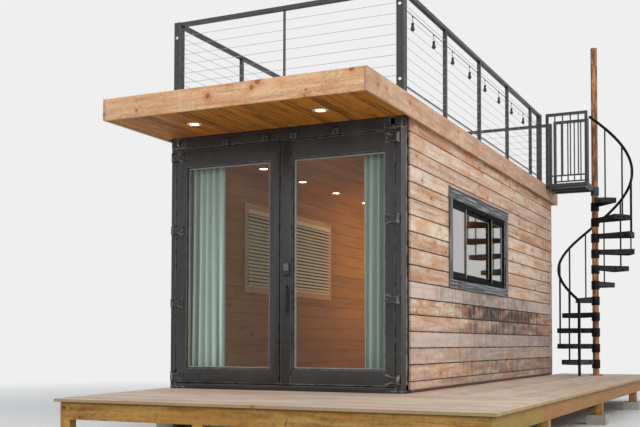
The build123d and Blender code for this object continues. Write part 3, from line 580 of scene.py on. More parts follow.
def rimFinish():
    # treated pine, greener on the near board of the right rim and pinker on the one behind it
    material, tree, shader, grain = woodBase("rim", timber["rim"])
    space = objectSpace(tree)
    across, back, up = axesOf(tree, space)
    right = maths(tree, "GREATER_THAN", across, cabinOrigin.x + rimLook["rightFrom"])
    joint = cabinOrigin.y + rimLook["joint"]
    far = maths(tree, "GREATER_THAN", back, joint)
    board = mixed(tree, far, colour(*rimLook["green"]), colour(*rimLook["pink"]))
    shade = mixed(tree, times(tree, right, 0.72), grain["Color"], board)
    shade = tinted(tree, shade, placed(tree, weather, Space=space)["Drips"], 0.10, rimLook["dark"])
    line = eased(tree, maths(tree, "ABSOLUTE", minus(tree, back, joint)), *rimLook["jointWidth"])
    line = times(tree, line, right)
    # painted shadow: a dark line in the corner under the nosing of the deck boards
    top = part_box("deck_frame")[1].z
    low, high = [top - reach for reach in rimLook["nosingShadow"]]
    shade = tinted(tree, shade, eased(tree, up, low, high), 0.75, rimLook["dark"])
    # a split that runs slantwise out of the lower edge of the front rim
    x, z = cabinOrigin.x + rimLook["split"][0], cabinOrigin.z + rimLook["split"][1]
    wander = scaled(tree, cloudy(tree, space, 30, 3), 0.04, -0.02)
    aside = scaled(tree, minus(tree, up, z), rimLook["slant"], plus(tree, minus(tree, across, x), wander))
    start, end = [z + reach for reach in rimLook["splitHeight"]]
    split = times(tree, eased(tree, maths(tree, "ABSOLUTE", aside), *rimLook["splitWidth"]),
                  eased(tree, up, start, end))
    shade = tinted(tree, shade, maths(tree, "MAXIMUM", line, split), 0.8, rimLook["dark"])
    join(tree, shade, shader.inputs["Base Color"])
    return material


def deckFinish():
    # walked grey on top; the cut faces are still yellow and browner, and painted shade makes them darker
    material, tree, shader, grain = woodBase("deck", timber["deck"])
    shape = tree.nodes.new("ShaderNodeNewGeometry")
    # painted shade: faces that do not look up take a darker yellow-brown
    flat = eased(tree, axesOf(tree, shape.outputs["Normal"])[2], 0.35, 0.85)
    side = mixed(tree, 0.7, grain["Color"], colour(146, 118, 62))
    dirt = placed(tree, weather, Space=objectSpace(tree))["Dirt"]
    top = tinted(tree, grain["Color"], dirt, 0.28, (168, 144, 134))
    join(tree, mixed(tree, flat, side, top), shader.inputs["Base Color"])
    return material


steelLook = {
    "pale": 46, "chip": (150, 146, 140), "rubbed": (172, 169, 164), "shaded": 0.4, "shadedShare": 0.75,
    "kick": (0.30, 0.02), "kickShare": 0.40, "underDeck": (-0.02, -0.005),
}


def paintedSteel(name, base, roughness, dusty, wear, rub, sheen=0.5):
    material, tree, shader = newMaterial(name, roughness)
    shader.inputs["Specular IOR Level"].default_value = sheen
    space = objectSpace(tree)
    marks = placed(tree, scuffs, Space=space, Amount=wear)
    ends = placed(tree, corners, Space=space)
    pale = [min(255, part + steelLook["pale"]) for part in base]
    shade = tinted(tree, colour(*base), marks["Dust"], dusty, pale)
    shade = tinted(tree, shade, placed(tree, weather, Space=space)["Drips"], dusty * 0.5, pale)
    shade = tinted(tree, shade, marks["Chips"], wear, steelLook["chip"])
    # painted shade, with some dirt, darkens the paint in inner corners and round proud parts
    shaded = [part * steelLook["shaded"] for part in base]
    shade = tinted(tree, shade, ends["CornerShade"], steelLook["shadedShare"], shaded)
    # edges are rubbed more near the deck, and not at all on what lies under it
    up = minus(tree, axesOf(tree, space)[2], cabinOrigin.z)
    kicked = scaled(tree, eased(tree, up, *steelLook["kick"]), steelLook["kickShare"], rub)
    kicked = times(tree, kicked, eased(tree, up, *steelLook["underDeck"]))
    shade = mixed(tree, times(tree, ends["Edge"], kicked), shade, colour(*steelLook["rubbed"]))
    join(tree, shade, shader.inputs["Base Color"])
    join(tree, scaled(tree, marks["Dust"], 0.18, roughness - 0.05), shader.inputs["Roughness"])
    raised(tree, shader, marks["Height"], 0.12, 0.0006)
    return material


def rustyPipe():
    material, tree, shader = newMaterial("rustyPipe", 0.7)
    space = objectSpace(tree)
    blotches = cloudy(tree, space, (22, 22, 4.5), 6)
    fine = cloudy(tree, space, 90, 4)
    shade = mixed(tree, eased(tree, blotches, 0.36, 0.62), colour(200, 142, 92), colour(110, 70, 44))
    shade = mixed(tree, eased(tree, fine, 0.50, 0.68), shade, colour(66, 42, 30))
    join(tree, shade, shader.inputs["Base Color"])
    raised(tree, shader, plus(tree, blotches, fine), 0.4, 0.0015)
    return material


def concreteFinish():
    material, tree, shader = newMaterial("concrete", 0.9)
    space = objectSpace(tree)
    grit = cloudy(tree, space, 160, 5)
    shade = mixed(tree, grit, colour(150, 147, 140), colour(198, 194, 184))
    shade = tinted(tree, shade, placed(tree, weather, Space=space)["Dirt"], 0.5, (120, 104, 84))
    join(tree, shade, shader.inputs["Base Color"])
    pores = eased(tree, cloudy(tree, space, 70, 3), 0.62, 0.72)
    raised(tree, shader, scaled(tree, pores, -2.0, grit), 0.5, 0.002)
    return material


def trimPaint():
    # slate paint over sawn boards, with the grain telegraphing through
    material, tree, shader, grain = woodBase("trimPaint", {**timber["cedar"], "roughness": 0.55})
    sawn = eased(tree, cloudy(tree, carried(tree, "grain", "Vector"), (2.2, 95, 95), 5), 0.44, 0.68)
    worn = plus(tree, times(tree, grain["Height"], 0.35), sawn)
    shade = mixed(tree, worn, colour(36, 39, 42), colour(160, 164, 166))
    drips = placed(tree, weather, Space=objectSpace(tree))["Drips"]
    join(tree, tinted(tree, shade, drips, 0.30, (128, 128, 122)), shader.inputs["Base Color"])
    return material


def dustyPaint(name, roughness, specular, amount, clean, dusty, share, bump):
    # an even coat with dust in it, and a slight skin
    material, tree, shader = newMaterial(name, roughness)
    shader.inputs["Specular IOR Level"].default_value = specular
    marks = placed(tree, scuffs, Space=objectSpace(tree), Amount=amount)
    join(tree, tinted(tree, colour(*clean), marks["Dust"], share, dusty), shader.inputs["Base Color"])
    raised(tree, shader, marks["Height"], bump, 0.0004)
    return material


def glassFinish(name, index, coat, tint, passes):
    # lets light through to the room, and reflects more where it has a coat
    material, tree, shader = newMaterial(name, 0.01)
    shader.inputs["Transmission Weight"].default_value = 1
    shader.inputs["IOR"].default_value = index
    shader.inputs["Coat Weight"].default_value = coat
    shader.inputs["Coat IOR"].default_value = 3.2
    smears = eased(tree, cloudy(tree, objectSpace(tree), (3, 3, 1.4), 4), 0.3, 0.8)
    smeared = mixed(tree, smears, (*tint, 1), (*[part * 0.95 for part in tint], 1))
    join(tree, smeared, shader.inputs["Base Color"])
    seen = tree.nodes.new("ShaderNodeLightPath")
    through = maths(tree, "MAXIMUM", seen.outputs["Is Shadow Ray"], seen.outputs["Is Diffuse Ray"])
    clear = tree.nodes.new("ShaderNodeBsdfTransparent")
    clear.inputs["Color"].default_value = (*passes, 1)
    blended(tree, through, shader, clear)
    return material


def lampFinish():
    material, tree, shader = newMaterial("lampLens", 0.35)
    glow = mixed(tree, cloudy(tree, objectSpace(tree), 40, 2), (1.0, 0.86, 0.66, 1), (1.0, 0.93, 0.80, 1))
    join(tree, glow, shader.inputs["Emission Color"])
    join(tree, glow, shader.inputs["Base Color"])
    shader.inputs["Emission Strength"].default_value = 14
    return material


def blindFinish():
    material, tree, shader = newMaterial("blindSlats", 0.5)
    streaks = cloudy(tree, objectSpace(tree), (4, 3, 90), 3)
    shade = mixed(tree, streaks, colour(254, 250, 228), colour(240, 234, 206))
    # the top of each slat lies in the shade of the one above it
    shade = mixed(tree, eased(tree, carried(tree, "across", "Fac"), 0.50, 0.66), shade, colour(30, 27, 20))
    join(tree, shade, shader.inputs["Base Color"])
    raised(tree, shader, streaks, 0.1, 0.0004)
    return material


clothLook = {"threads": 2600.0, "slubs": (260, 18, 1), "light": (240, 246, 240), "dark": (218, 226, 218),
             "foldShade": (122, 134, 126), "foldShadeShare": 0.75}


def curtainFinish():
    # plain weave, read along the cloth
    material, tree, shader = newMaterial("curtainCloth", 0.85)
    shader.inputs["Sheen Weight"].default_value = 0.3
    along = carried(tree, "cloth", "Vector")
    across, down, _ = axesOf(tree, along)
    warp, weft = [maths(tree, "SINE", times(tree, axis, clothLook["threads"])) for axis in (across, down)]
    weave = scaled(tree, plus(tree, warp, weft), 0.25, 0.5)
    slubs = cloudy(tree, along, clothLook["slubs"], 3)
    shade = mixed(tree, slubs, colour(*clothLook["light"]), colour(*clothLook["dark"]))
    # painted shade: the cloth darkens into the valleys of the folds and stays pale on the ridges
    folds = eased(tree, carried(tree, "ridge", "Fac"), 0.78, 0.15)
    shade = tinted(tree, shade, folds, clothLook["foldShadeShare"], clothLook["foldShade"])
    join(tree, shade, shader.inputs["Base Color"])
    raised(tree, shader, plus(tree, weave, slubs), 0.25, 0.0008)
    return material


def speckled(name, first, second, roughness, scale=55, detail=4, metallic=0.0):
    # a plain moulded, coated or brushed finish with a slight fleck
    material, tree, shader = newMaterial(name, roughness, metallic)
    fleck = cloudy(tree, objectSpace(tree), scale, detail)
    join(tree, mixed(tree, fleck, colour(*first), colour(*second)), shader.inputs["Base Color"])
    return material


def festoonFinish():
    # dark rubber sockets over smoky bulbs
    material, tree, shader = newMaterial("festoon", 0.3)
    space = objectSpace(tree)
    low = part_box("string_lights")[0].z
    bulb = eased(tree, axesOf(tree, space)[2], low + 0.056, low + 0.050)
    tint = mixed(tree, cloudy(tree, space, 60, 2), colour(58, 44, 32), colour(32, 26, 22))
    join(tree, mixed(tree, bulb, colour(20, 20, 20), tint), shader.inputs["Base Color"])
    join(tree, scaled(tree, bulb, -0.35, 0.5), shader.inputs["Roughness"])
    return material


print("effects ready")

finishes = {key: plainWood(key) for key in timber if key not in ("cedar", "fascia", "rim", "deck")}
finishes.update({
    "cedar": weatheredWood("cedar"), "fascia": weatheredWood("fascia"),
    "rim": rimFinish(), "deck": deckFinish(),
    "charcoal": paintedSteel("charcoal", (39, 38, 38), 0.46, 0.18, 0.25, 0.50),
    "railPaint": paintedSteel("railPaint", (40, 41, 43), 0.45, 0.16, 0.12, 0.30),
    "stairPaint": paintedSteel("stairPaint", (10, 10, 10), 0.6, 0.05, 0.05, 0.06, 0.2),
    "pipe": rustyPipe(), "concrete": concreteFinish(), "trim": trimPaint(),
    "windowFrame": dustyPaint("windowFrame", 0.5, 0.02, 0.2, (12, 17, 16), (34, 41, 38), 0.4, 0.08),
    "fitting": dustyPaint("darkFitting", 0.4, 0.5, 0.4, (34, 34, 36), (66, 66, 68), 0.5, 0.1),
    "glass": glassFinish("glass", 1.34, 0.0, (0.92, 0.98, 0.96), (0.86, 0.92, 0.90)),
    "windowGlass": glassFinish("windowGlass", 1.45, 1.0, (0.26, 0.31, 0.30), (0.55, 0.60, 0.58)),
    "lens": lampFinish(), "blind": blindFinish(), "curtain": curtainFinish(), "festoon": festoonFinish(),
    # painted light: the white flange is tinted warm, as if lit by its own lamp
    "ring": speckled("lampRing", (244, 212, 184), (228, 194, 164), 0.4, 30, 3),
    "stainless": speckled("stainless", (196, 198, 200), (160, 162, 164), 0.32, (60, 60, 400), 3, 1.0),
    "gasket": speckled("gasket", (206, 204, 198), (140, 140, 136), 0.6),
    "interlock": speckled("interlock", (196, 188, 160), (160, 152, 128), 0.7),
    "lockBody": speckled("lockBody", (34, 35, 37), (26, 27, 29), 0.4),
    "lockPad": speckled("lockPad", (100, 101, 103), (82, 83, 85), 0.3),
    "handle": speckled("handle", (30, 31, 33), (42, 43, 46), 0.4),
    "blindCord": speckled("blindCord", (220, 212, 188), (190, 180, 156), 0.8),
    "footStrip": speckled("footStrip", (112, 76, 58), (70, 46, 36), 0.8),
    "screwHead": speckled("screwHead", (110, 92, 72), (70, 58, 46), 0.5),
})
print("finishes ready")

slotFinish = {
    "charcoal_steel": "charcoal", "rail_steel": "railPaint", "stair_steel": "stairPaint",
    "rusty_pipe": "pipe", "cedar": "cedar", "fascia_wood": "fascia", "soffit_wood": "soffit",
    "roof_wood": "terrace", "deck_wood": "deck", "treated_pine": "rim", "concrete": "concrete",
    "trim_paint": "trim", "window_frame": "windowFrame", "glass": "glass", "wall_boards": "wallBoards",
    "ceiling_boards": "ceilingBoards", "floor_boards": "floorBoards", "lamp_lens": "lens",
    "blind_slats": "blind", "curtain_cloth": "curtain", "dark_fittings": "fitting",
    "festoon_lights": "festoon",
}
nodeSlot = {part["node"]: part["material_slot"] for part in frame["record"]["subparts"]}


def coated(piece, finish):
    piece.data.materials.clear()
    piece.data.materials.append(finishes[finish])


def finishNodes():
    for name, node in frame["nodes"].items():
        coated(node, "windowGlass" if name == "window_glass" else slotFinish[nodeSlot[name]])


# Modelling helpers

patterns = {}  # blocks, heads and rings that are modelled once and copied


def deselectAll():
    bpy.ops.object.select_all(action="DESELECT")


def makeActive(piece):
    deselectAll()
    piece.select_set(True)
    bpy.context.view_layer.objects.active = piece


def smoothed(piece):
    makeActive(piece)
    bpy.ops.object.shade_smooth_by_angle(angle=math.radians(32))


def easeEdges(piece, width, segments, angle):
    # rounds every edge that is sharper than the angle
    makeActive(piece)
    ease = piece.modifiers.new("ease", "BEVEL")
    ease.width = width
    ease.segments = segments
    ease.limit_method = "ANGLE"
    ease.angle_limit = math.radians(angle)
    bpy.ops.object.modifier_apply(modifier="ease")


def applyPlace():
    bpy.ops.object.transform_apply(location=True, rotation=True, scale=True)


def joined(parts, name):
    makeActive(parts[0])
    for part in parts:
        part.select_set(True)
    if len(parts) > 1:
        bpy.ops.object.join()
    piece = bpy.context.object
    piece.name = name
    piece.data.name = name
    applyPlace()
    return piece


def easedBlock(bevel, name, segments):
    # a block of 1 m a side with eased arrises, which each copy stretches
    deselectAll()
    bpy.ops.mesh.primitive_cube_add(size=1)
    block = bpy.context.object
    block.name = name
    bpy.ops.object.mode_set(mode="EDIT")
    bpy.ops.mesh.select_all(action="SELECT")
    bpy.ops.mesh.bevel(offset=bevel, segments=segments, affect="EDGES")
    bpy.ops.object.mode_set(mode="OBJECT")
    return block


def turnedHead(name, radius, height, sides):
    # a low round or six-sided head that stands up from z = 0
    deselectAll()
    bpy.ops.mesh.primitive_cylinder_add(vertices=sides, radius=radius, depth=height,
                                        location=(0, 0, height / 2))
    head = bpy.context.object
    head.name = name
    applyPlace()
    if sides > 6:
        easeEdges(head, min(radius, height) * 0.45, 3, 60)
    return head


def copied(pattern):
    piece = pattern.copy()
    piece.data = pattern.data.copy()
    bpy.context.collection.objects.link(piece)
    return piece


def stretched(pattern, low, high):
    # keeps the arrises their size
    piece = copied(pattern)
    for vertex in piece.data.vertices:
        for axis in range(3):
            inset = 0.5 - abs(vertex.co[axis])
            vertex.co[axis] = high[axis] - inset if vertex.co[axis] > 0 else low[axis] + inset
    return piece


def moved(pattern, place, turn=Matrix.Identity(4)):
    piece = copied(pattern)
    piece.data.transform(Matrix.Translation(place) @ turn)
    return piece


def block(low, high):
    return stretched(patterns["steel"], at(*low), at(*high))


def upright(x, y, z, size):
    return block((x - size / 2, y - size / 2, z[0]), (x + size / 2, y + size / 2, z[1]))


def roundBar(start, end, radius, sides):
    # a straight bar between two points of the cabin
    first, last = at(*start), at(*end)
    run = last - first
    deselectAll()
    bpy.ops.mesh.primitive_cylinder_add(vertices=sides, radius=radius, depth=run.length)
    bar = bpy.context.object
    bar.rotation_euler = run.to_track_quat("Z", "Y").to_euler()
    bar.location = (first + last) / 2
    applyPlace()
    return bar


def newAttributes(mesh, kinds):
    # all are made before any is filled, because making one moves the others
    for name, kind in kinds.items():
        mesh.attributes.new(name, kind, "POINT")
    return [mesh.attributes[name].data for name in kinds]


def islands(mesh):
    # the vertices that hang together, with their low and high corner
    shape = bmesh.new()
    shape.from_mesh(mesh)
    seen = set()
    groups = []
    for start in shape.verts:
        if start.index in seen:
            continue
        seen.add(start.index)
        group, waiting = [], [start]
        while waiting:
            vertex = waiting.pop()
            group.append(vertex.index)
            for edge in vertex.link_edges:
                other = edge.other_vert(vertex)
                if other.index not in seen:
                    seen.add(other.index)
                    waiting.append(other)
        points = [mesh.vertices[index].co for index in group]
        low, high = [Vector([pick(p[axis] for p in points) for axis in range(3)]) for pick in (min, max)]
        groups.append((group, low, high))
    shape.free()
    return groups


def giveGrain(piece, lengthAxis=None):
    # each board reads its own stretch of timber: along, across, deep, and a tone of its own
    grain, tone = newAttributes(piece.data, {"grain": "FLOAT_VECTOR", "tone": "FLOAT"})
    for group, low, high in islands(piece.data):
        order = sorted(range(3), key=lambda axis: low[axis] - high[axis])
        if lengthAxis is not None:
            order = [lengthAxis] + [axis for axis in order if axis != lengthAxis]
        start = Vector([random.uniform(0, 60) for _ in range(3)])
        shade = random.random()
        for index in group:
            place = piece.data.vertices[index].co
            grain[index].vector = Vector([place[axis] for axis in order]) + start
            tone[index].value = shade


def giveWear(piece, wearOf):
    # wearOf turns the low and high corner of a board into its wear and its wet stretch
    wear, wet = newAttributes(piece.data, {"wear": "FLOAT_VECTOR", "wet": "FLOAT_VECTOR"})
    for group, low, high in islands(piece.data):
        ownWear, ownWet = wearOf(low - cabinOrigin, high - cabinOrigin)
        for index in group:
            wear[index].vector = ownWear
            wet[index].vector = ownWet


def dressed(names, piece, finish, body="root"):
    # the piece stands for these nodes, which it hides, takes the given finish and rides on their body
    coated(piece, finish)
    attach(piece, body)
    if names:
        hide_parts(*names)
    return piece


def added(parts, name, finish, body="root"):
    # a piece of the scene's own, such as bolts, that stands for no node
    piece = joined(parts, name)
    coated(piece, finish)
    smoothed(piece)
    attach(piece, body)


def copyOfNode(name, pieceName, bevel, segments=2):
    # the node's triangles merged into clean faces, with eased edges
    piece = copied(frame["nodes"][name])
    piece.parent = None
    for key in list(piece.keys()):
        del piece[key]
    piece.name = pieceName
    piece.data.name = pieceName
    makeActive(piece)
    bpy.ops.object.mode_set(mode="EDIT")
    bpy.ops.mesh.select_all(action="SELECT")
    bpy.ops.mesh.remove_doubles(threshold=0.00002)
    bpy.ops.mesh.dissolve_limited(angle_limit=math.radians(1))
    bpy.ops.object.mode_set(mode="OBJECT")
    easeEdges(piece, bevel, segments, 35)
    smoothed(piece)
    return piece


# Boards laid in rows over a slab

boardLook = {"arris": 0.003, "wobble": 0.0009}


def layBoards(name, node, rows, finish, lengthAxis):
    # rows are (low, high) corners of each board
    parts = []
    thin = min(range(3), key=lambda axis: rows[0][1][axis] - rows[0][0][axis])
    for low, high in rows:
        shift = Vector((0, 0, 0))
        shift[thin] = random.uniform(-1, 1) * boardLook["wobble"]
        parts.append(stretched(patterns["board"], Vector(low) + shift, Vector(high) + shift))
    piece = joined(parts, name)
    giveGrain(piece, lengthAxis)
    return dressed([node], piece, finish)


def evenRows(start, end, width, gap):
    # the nearest whole number of boards over a stretch
    count = max(1, round((end - start + gap) / (width + gap)))
    pitch = (end - start + gap) / count
    return [(start + index * pitch, start + (index + 1) * pitch - gap) for index in range(count)]


def boardsOver(low, high, across, rows):
    # a full-length board for each row, the rows counted along this axis
    boards = []
    for start, end in rows:
        foot, top = list(low), list(high)
        foot[across], top[across] = start, end
        boards.append((foot, top))
    return boards


def boardsRound(low, high, rows):
    # rows along Y that stop at a window, with ripped pieces above and below it
    holeLow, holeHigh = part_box("window_frames")
    boards = []
    for foot, top in rows:
        if top <= holeLow.z or foot >= holeHigh.z:
            spans = [(low.y, high.y, foot, top)]
        else:
            spans = [(low.y, holeLow.y, foot, top), (holeHigh.y, high.y, foot, top)]
            if holeLow.z - foot > cladding["sliver"]:
                spans.append((holeLow.y, holeHigh.y, foot, holeLow.z))
            if top - holeHigh.z > cladding["sliver"]:
                spans.append((holeLow.y, holeHigh.y, holeHigh.z, top))
        boards += [((low.x, near, under), (high.x, far, over)) for near, far, under, over in spans]
    return boards


cladding = {
    "board": 0.140, "gap": 0.011, "firstTop": 0.0685, "lastLeast": 0.02, "sliver": 0.006,
    # from the foot of the right wall up: bleached, soaked, orange, wet from, wet to, sooty
    "rows": ((0.30, 0.45, 0.25, 1.6, 6.6, 0.5), (0.10, 0.55, 0.55, 2.2, 6.6, 0.2),
             (0.55, 0.40, 0.15, 1.4, 5.2, 0.7), (0.95, 0.42, 0.05, 1.9, 6.4, 0.8),
             (0.20, 0.75, 0.70, 2.0, 5.4, 0.2), (0.05, 1.00, 0.85, 1.7, 5.1, 0.0),
             (0.85, 0.60, 0.10, 1.2, 4.6, 0.8)),
    "upperBleach": 0.30, "upperSoak": 0.12, "upperOrange": 0.50, "hiddenSoak": 0.6, "hiddenBleach": 0.8,
    # a strip closes the gap to the deck, and packers close the grooves at the rear corner
    "stripBack": 0.003, "stripEnds": 0.002, "stripFoot": 0.0008, "stripTop": 0.0005,
    "packerIn": 0.004, "packerFrom": 0.018, "packerTo": 0.003,
}
claddingFoot = (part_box("cladding_right")[0] - cabinOrigin).z
claddingRear = 6.08


def rowWear(low, high):
    # rain off the window has blackened the boards below it, and some of them have gone pale and grey
    place = round((low.z - claddingFoot) / (cladding["board"] + cladding["gap"]))
    if place < len(cladding["rows"]):
        bleached, soaked, orange, wetFrom, wetTo, sooty = cladding["rows"][place]
        if high.x < 0 or high.y > claddingRear:
            soaked, bleached = soaked * cladding["hiddenSoak"], bleached * cladding["hiddenBleach"]
        return (bleached, soaked, orange), (wetFrom, wetTo, sooty)
    own = (random.uniform(0, cladding["upperBleach"]), random.uniform(0.2, 1) * cladding["upperSoak"],
           random.uniform(0.1, 1) * cladding["upperOrange"])
    wetFrom = random.uniform(-2, 5.2)
    return own, (wetFrom, wetFrom + random.uniform(0.5, 3), 0.3)


def claddingRows(low, high):
    # a ripped board at the foot, whole boards above it
    rows = [(low.z, low.z + cladding["firstTop"])]
    foot = rows[0][1] + cladding["gap"]
    while foot < high.z - cladding["lastLeast"]:
        rows.append((foot, min(foot + cladding["board"], high.z)))
        foot += cladding["board"] + cladding["gap"]
    return rows


def makeCladding():
    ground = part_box("deck_boards")[1].z
    foot, top = ground + cladding["stripFoot"], claddingFoot + cabinOrigin.z - cladding["stripTop"]
    strips = []
    for side in ("left", "right", "rear"):
        low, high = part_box("cladding_" + side)
        rows = claddingRows(low, high)
        inX, inY = cladding["stripBack"], cladding["stripEnds"]
        if side == "rear":
            boards, along = boardsOver(low, high, 2, rows), 0
            inX, inY = inY, inX
        else:
            boards, along = boardsRound(low, high, rows), 1
        spans = [((low.x + inX, low.y + inY, foot), (high.x - inX, high.y - inY, top))]
        if side != "rear":
            spans += [((low.x + cladding["packerIn"], high.y - cladding["packerFrom"], under),
                       (high.x - cladding["packerIn"], high.y - cladding["packerTo"], over))
                      for (_, under), (over, _) in zip(rows, rows[1:])]
        strips += [stretched(patterns["steel"], *span) for span in spans]
        name = "cedarBoards" + side.capitalize()
        giveWear(layBoards(name, "cladding_" + side, boards, "cedar", along), rowWear)
    added(strips, "footStrips", "footStrip")


deck = {"board": 0.140, "gap": 0.0035, "skew": 0.270,
        "seamFromWall": 0.0065, "seamGap": 0.0005, "backFromSill": 0.006}


def deckLayout():
    # the front boards run across to the right edge, and those beside the cabin run front to back
    low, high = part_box("deck_boards")
    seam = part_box("cladding_right")[1].x + deck["seamFromWall"]
    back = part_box("door_sill")[0].y - deck["backFromSill"]
    across = evenRows(low.y, back, deck["board"], deck["gap"])
    beside = evenRows(seam + deck["seamGap"], high.x, deck["board"], deck["gap"])
    return low, high, seam, back, across, beside


def makeDeck():
    low, high, _, back, across, beside = deckLayout()
    parts = []
    for start, end in across:
        board = stretched(patterns["board"], (low.x, start, low.z), (high.x, end, high.z))
        for vertex in board.data.vertices:
            if vertex.co.x < 0:
                vertex.co.x += deck["skew"] * (back - vertex.co.y) / (back - low.y)
        parts.append(board)
    for start, end in beside:
        near = (start, back + deck["gap"], low.z)
        parts.append(stretched(patterns["board"], near, (end, high.y, high.z)))
    piece = joined(parts, "deckBoards")
    giveGrain(piece)
    dressed(["deck_boards"], piece, "deck")


slabs = (
    # node, piece, finish, board, gap, axis that rows are counted along, axis that boards run along
    ("roof_boards", "terraceBoards", "terrace", 0.140, 0.0035, 1, 0),
    ("roof_soffit", "soffitBoards", "soffit", 0.089, 0.002, 0, 1),
    ("ceiling", "ceilingBoards", "ceilingBoards", 0.135, 0.003, 0, 1),
    ("floor", "floorBoards", "floorBoards", 0.125, 0.001, 0, 1),
)
liningLook = {"board": 0.140, "gap": 0.003}


def makeSlabs():
    for node, name, finish, width, gap, across, along in slabs:
        low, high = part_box(node)
        rows = evenRows(low[across], high[across], width, gap)
        layBoards(name, node, boardsOver(low, high, across, rows), finish, along)


def makeLining():
    for side in ("left", "right", "rear"):
        low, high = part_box("lining_" + side)
        rows = evenRows(low.z, high.z, liningLook["board"], liningLook["gap"])
        if side == "rear":
            boards, along = boardsOver(low, high, 2, rows), 0
        else:
            boards, along = boardsRound(low, high, rows), 1
        layBoards("wallBoards" + side.capitalize(), "lining_" + side, boards, "wallBoards", along)


timbers = (
    # node, piece, finish and how far its edges are eased
    ("deck_frame", "deckTimbers", "rim", 0.002),
    ("support_stubs", "shortPosts", "rim", 0.003),
    ("roof_joists", "roofTimbers", "terrace", 0.002),
    ("roof_fascia", "fasciaBoards", "fascia", 0.003),
    ("window_trim", "windowTrimBoards", "trim", 0.0015),
)
pressings = (
    ("corner_posts", "cornerPosts", "charcoal", 0.002),
    ("door_header", "doorHeader", "charcoal", 0.002),
    ("door_sill", "doorSill", "charcoal", 0.002),
    ("corner_castings", "cornerCastings", "charcoal", 0.004),
    ("landing", "landingPlate", "railPaint", 0.0015),
    ("landing_rail", "landingRail", "railPaint", 0.0015),
    ("stair_treads", "stairTreads", "stairPaint", 0.0015),
    ("window_frames", "windowSashes", "windowFrame", 0.0015),
    ("door_left_frame", "leftDoorFrame", "charcoal", 0.0015),
    ("door_right_frame", "rightDoorFrame", "charcoal", 0.0015),
)


def fasciaWear(low, high):
    # the boards along the sides have bleached more than the front one
    along = high.y - low.y > 1
    return ((0.24, 0.25, 0.60) if along else (0.02, 0.0, 0.40)), (-2, 7, 0.9)


def makeTimbers():
    # joists, rims, posts and trim keep their sawn shapes, with grain of their own
    for node, name, finish, bevel in timbers:
        piece = copyOfNode(node, name, bevel)
        giveGrain(piece)
        if finish == "fascia":
            giveWear(piece, fasciaWear)
        dressed([node], piece, finish)


def makeSteel():
    # pressed and folded steel gets its rounded edges
    for node, name, finish, bevel in pressings:
        body = node.split("_")[1] + "_door" if name.endswith("DoorFrame") else "root"
        dressed([node], copyOfNode(node, name, bevel), finish, body)


# Roof rail: square posts, flat top bar, round cables with fittings at each post

railLook = {
    "foot": 2.658, "top": 3.640, "left": -1.157, "right": 1.210, "front": 0.030, "rear": 6.100,
    "rightEnd": 5.483, "firstMid": 1.270, "midPitch": 1.217, "arris": 0.0022,
    "cornerPost": 0.076, "midPost": 0.038, "endPost": 0.064, "stay": 0.020, "bar": (0.050, 0.038),
    "lowBar": 0.112, "lowBarSize": 0.012, "cables": 9, "cable": 0.0020, "capHeights": (2.800, 3.480),
    "plate": 0.130, "smallPlate": 0.090, "plateThickness": 0.008, "boltInset": 0.014,
}


def footPlate(x, y, size, parts, bolts):
    # the welded plate under a post, with a bolt in each corner
    foot = railLook["foot"]
    top = foot + railLook["plateThickness"]
    reach = size / 2
    parts.append(block((x - reach, y - reach, foot), (x + reach, y + reach, top)))
    reach -= railLook["boltInset"]
    bolts += [moved(patterns["bolt"], at(boltX, boltY, top))
              for boltX in (x - reach, x + reach) for boltY in (y - reach, y + reach)]


def strungPanel(axis, fixed, stops):
    # stops are (place, half size) of the posts that the cables run between and through
    def spot(place, z):
        return (place, fixed, z) if axis == 0 else (fixed, place, z)
    cables, ferrules = [], []
    start, end = stops[0][0] + stops[0][1], stops[-1][0] - stops[-1][1]
    faces = [(place + side * half, side) for place, half in stops for side in (-1, 1)][1:-1]
    pitch = (railLook["top"] - railLook["foot"] - railLook["bar"][1]) / (railLook["cables"] + 1)
    for index in range(railLook["cables"]):
        z = railLook["foot"] + pitch * (index + 1)
        cables.append(roundBar(spot(start, z), spot(end, z), railLook["cable"], 8))
        for place, side in faces:
            # a pale ferrule stands off the face of a post where the cable enters
            turn = turned(90 * side, "Y") if axis == 0 else turned(-90 * side, "X")
            ferrules.append(moved(patterns["ferrule"], at(*spot(place, z)), turn))
    return cables + ferrules


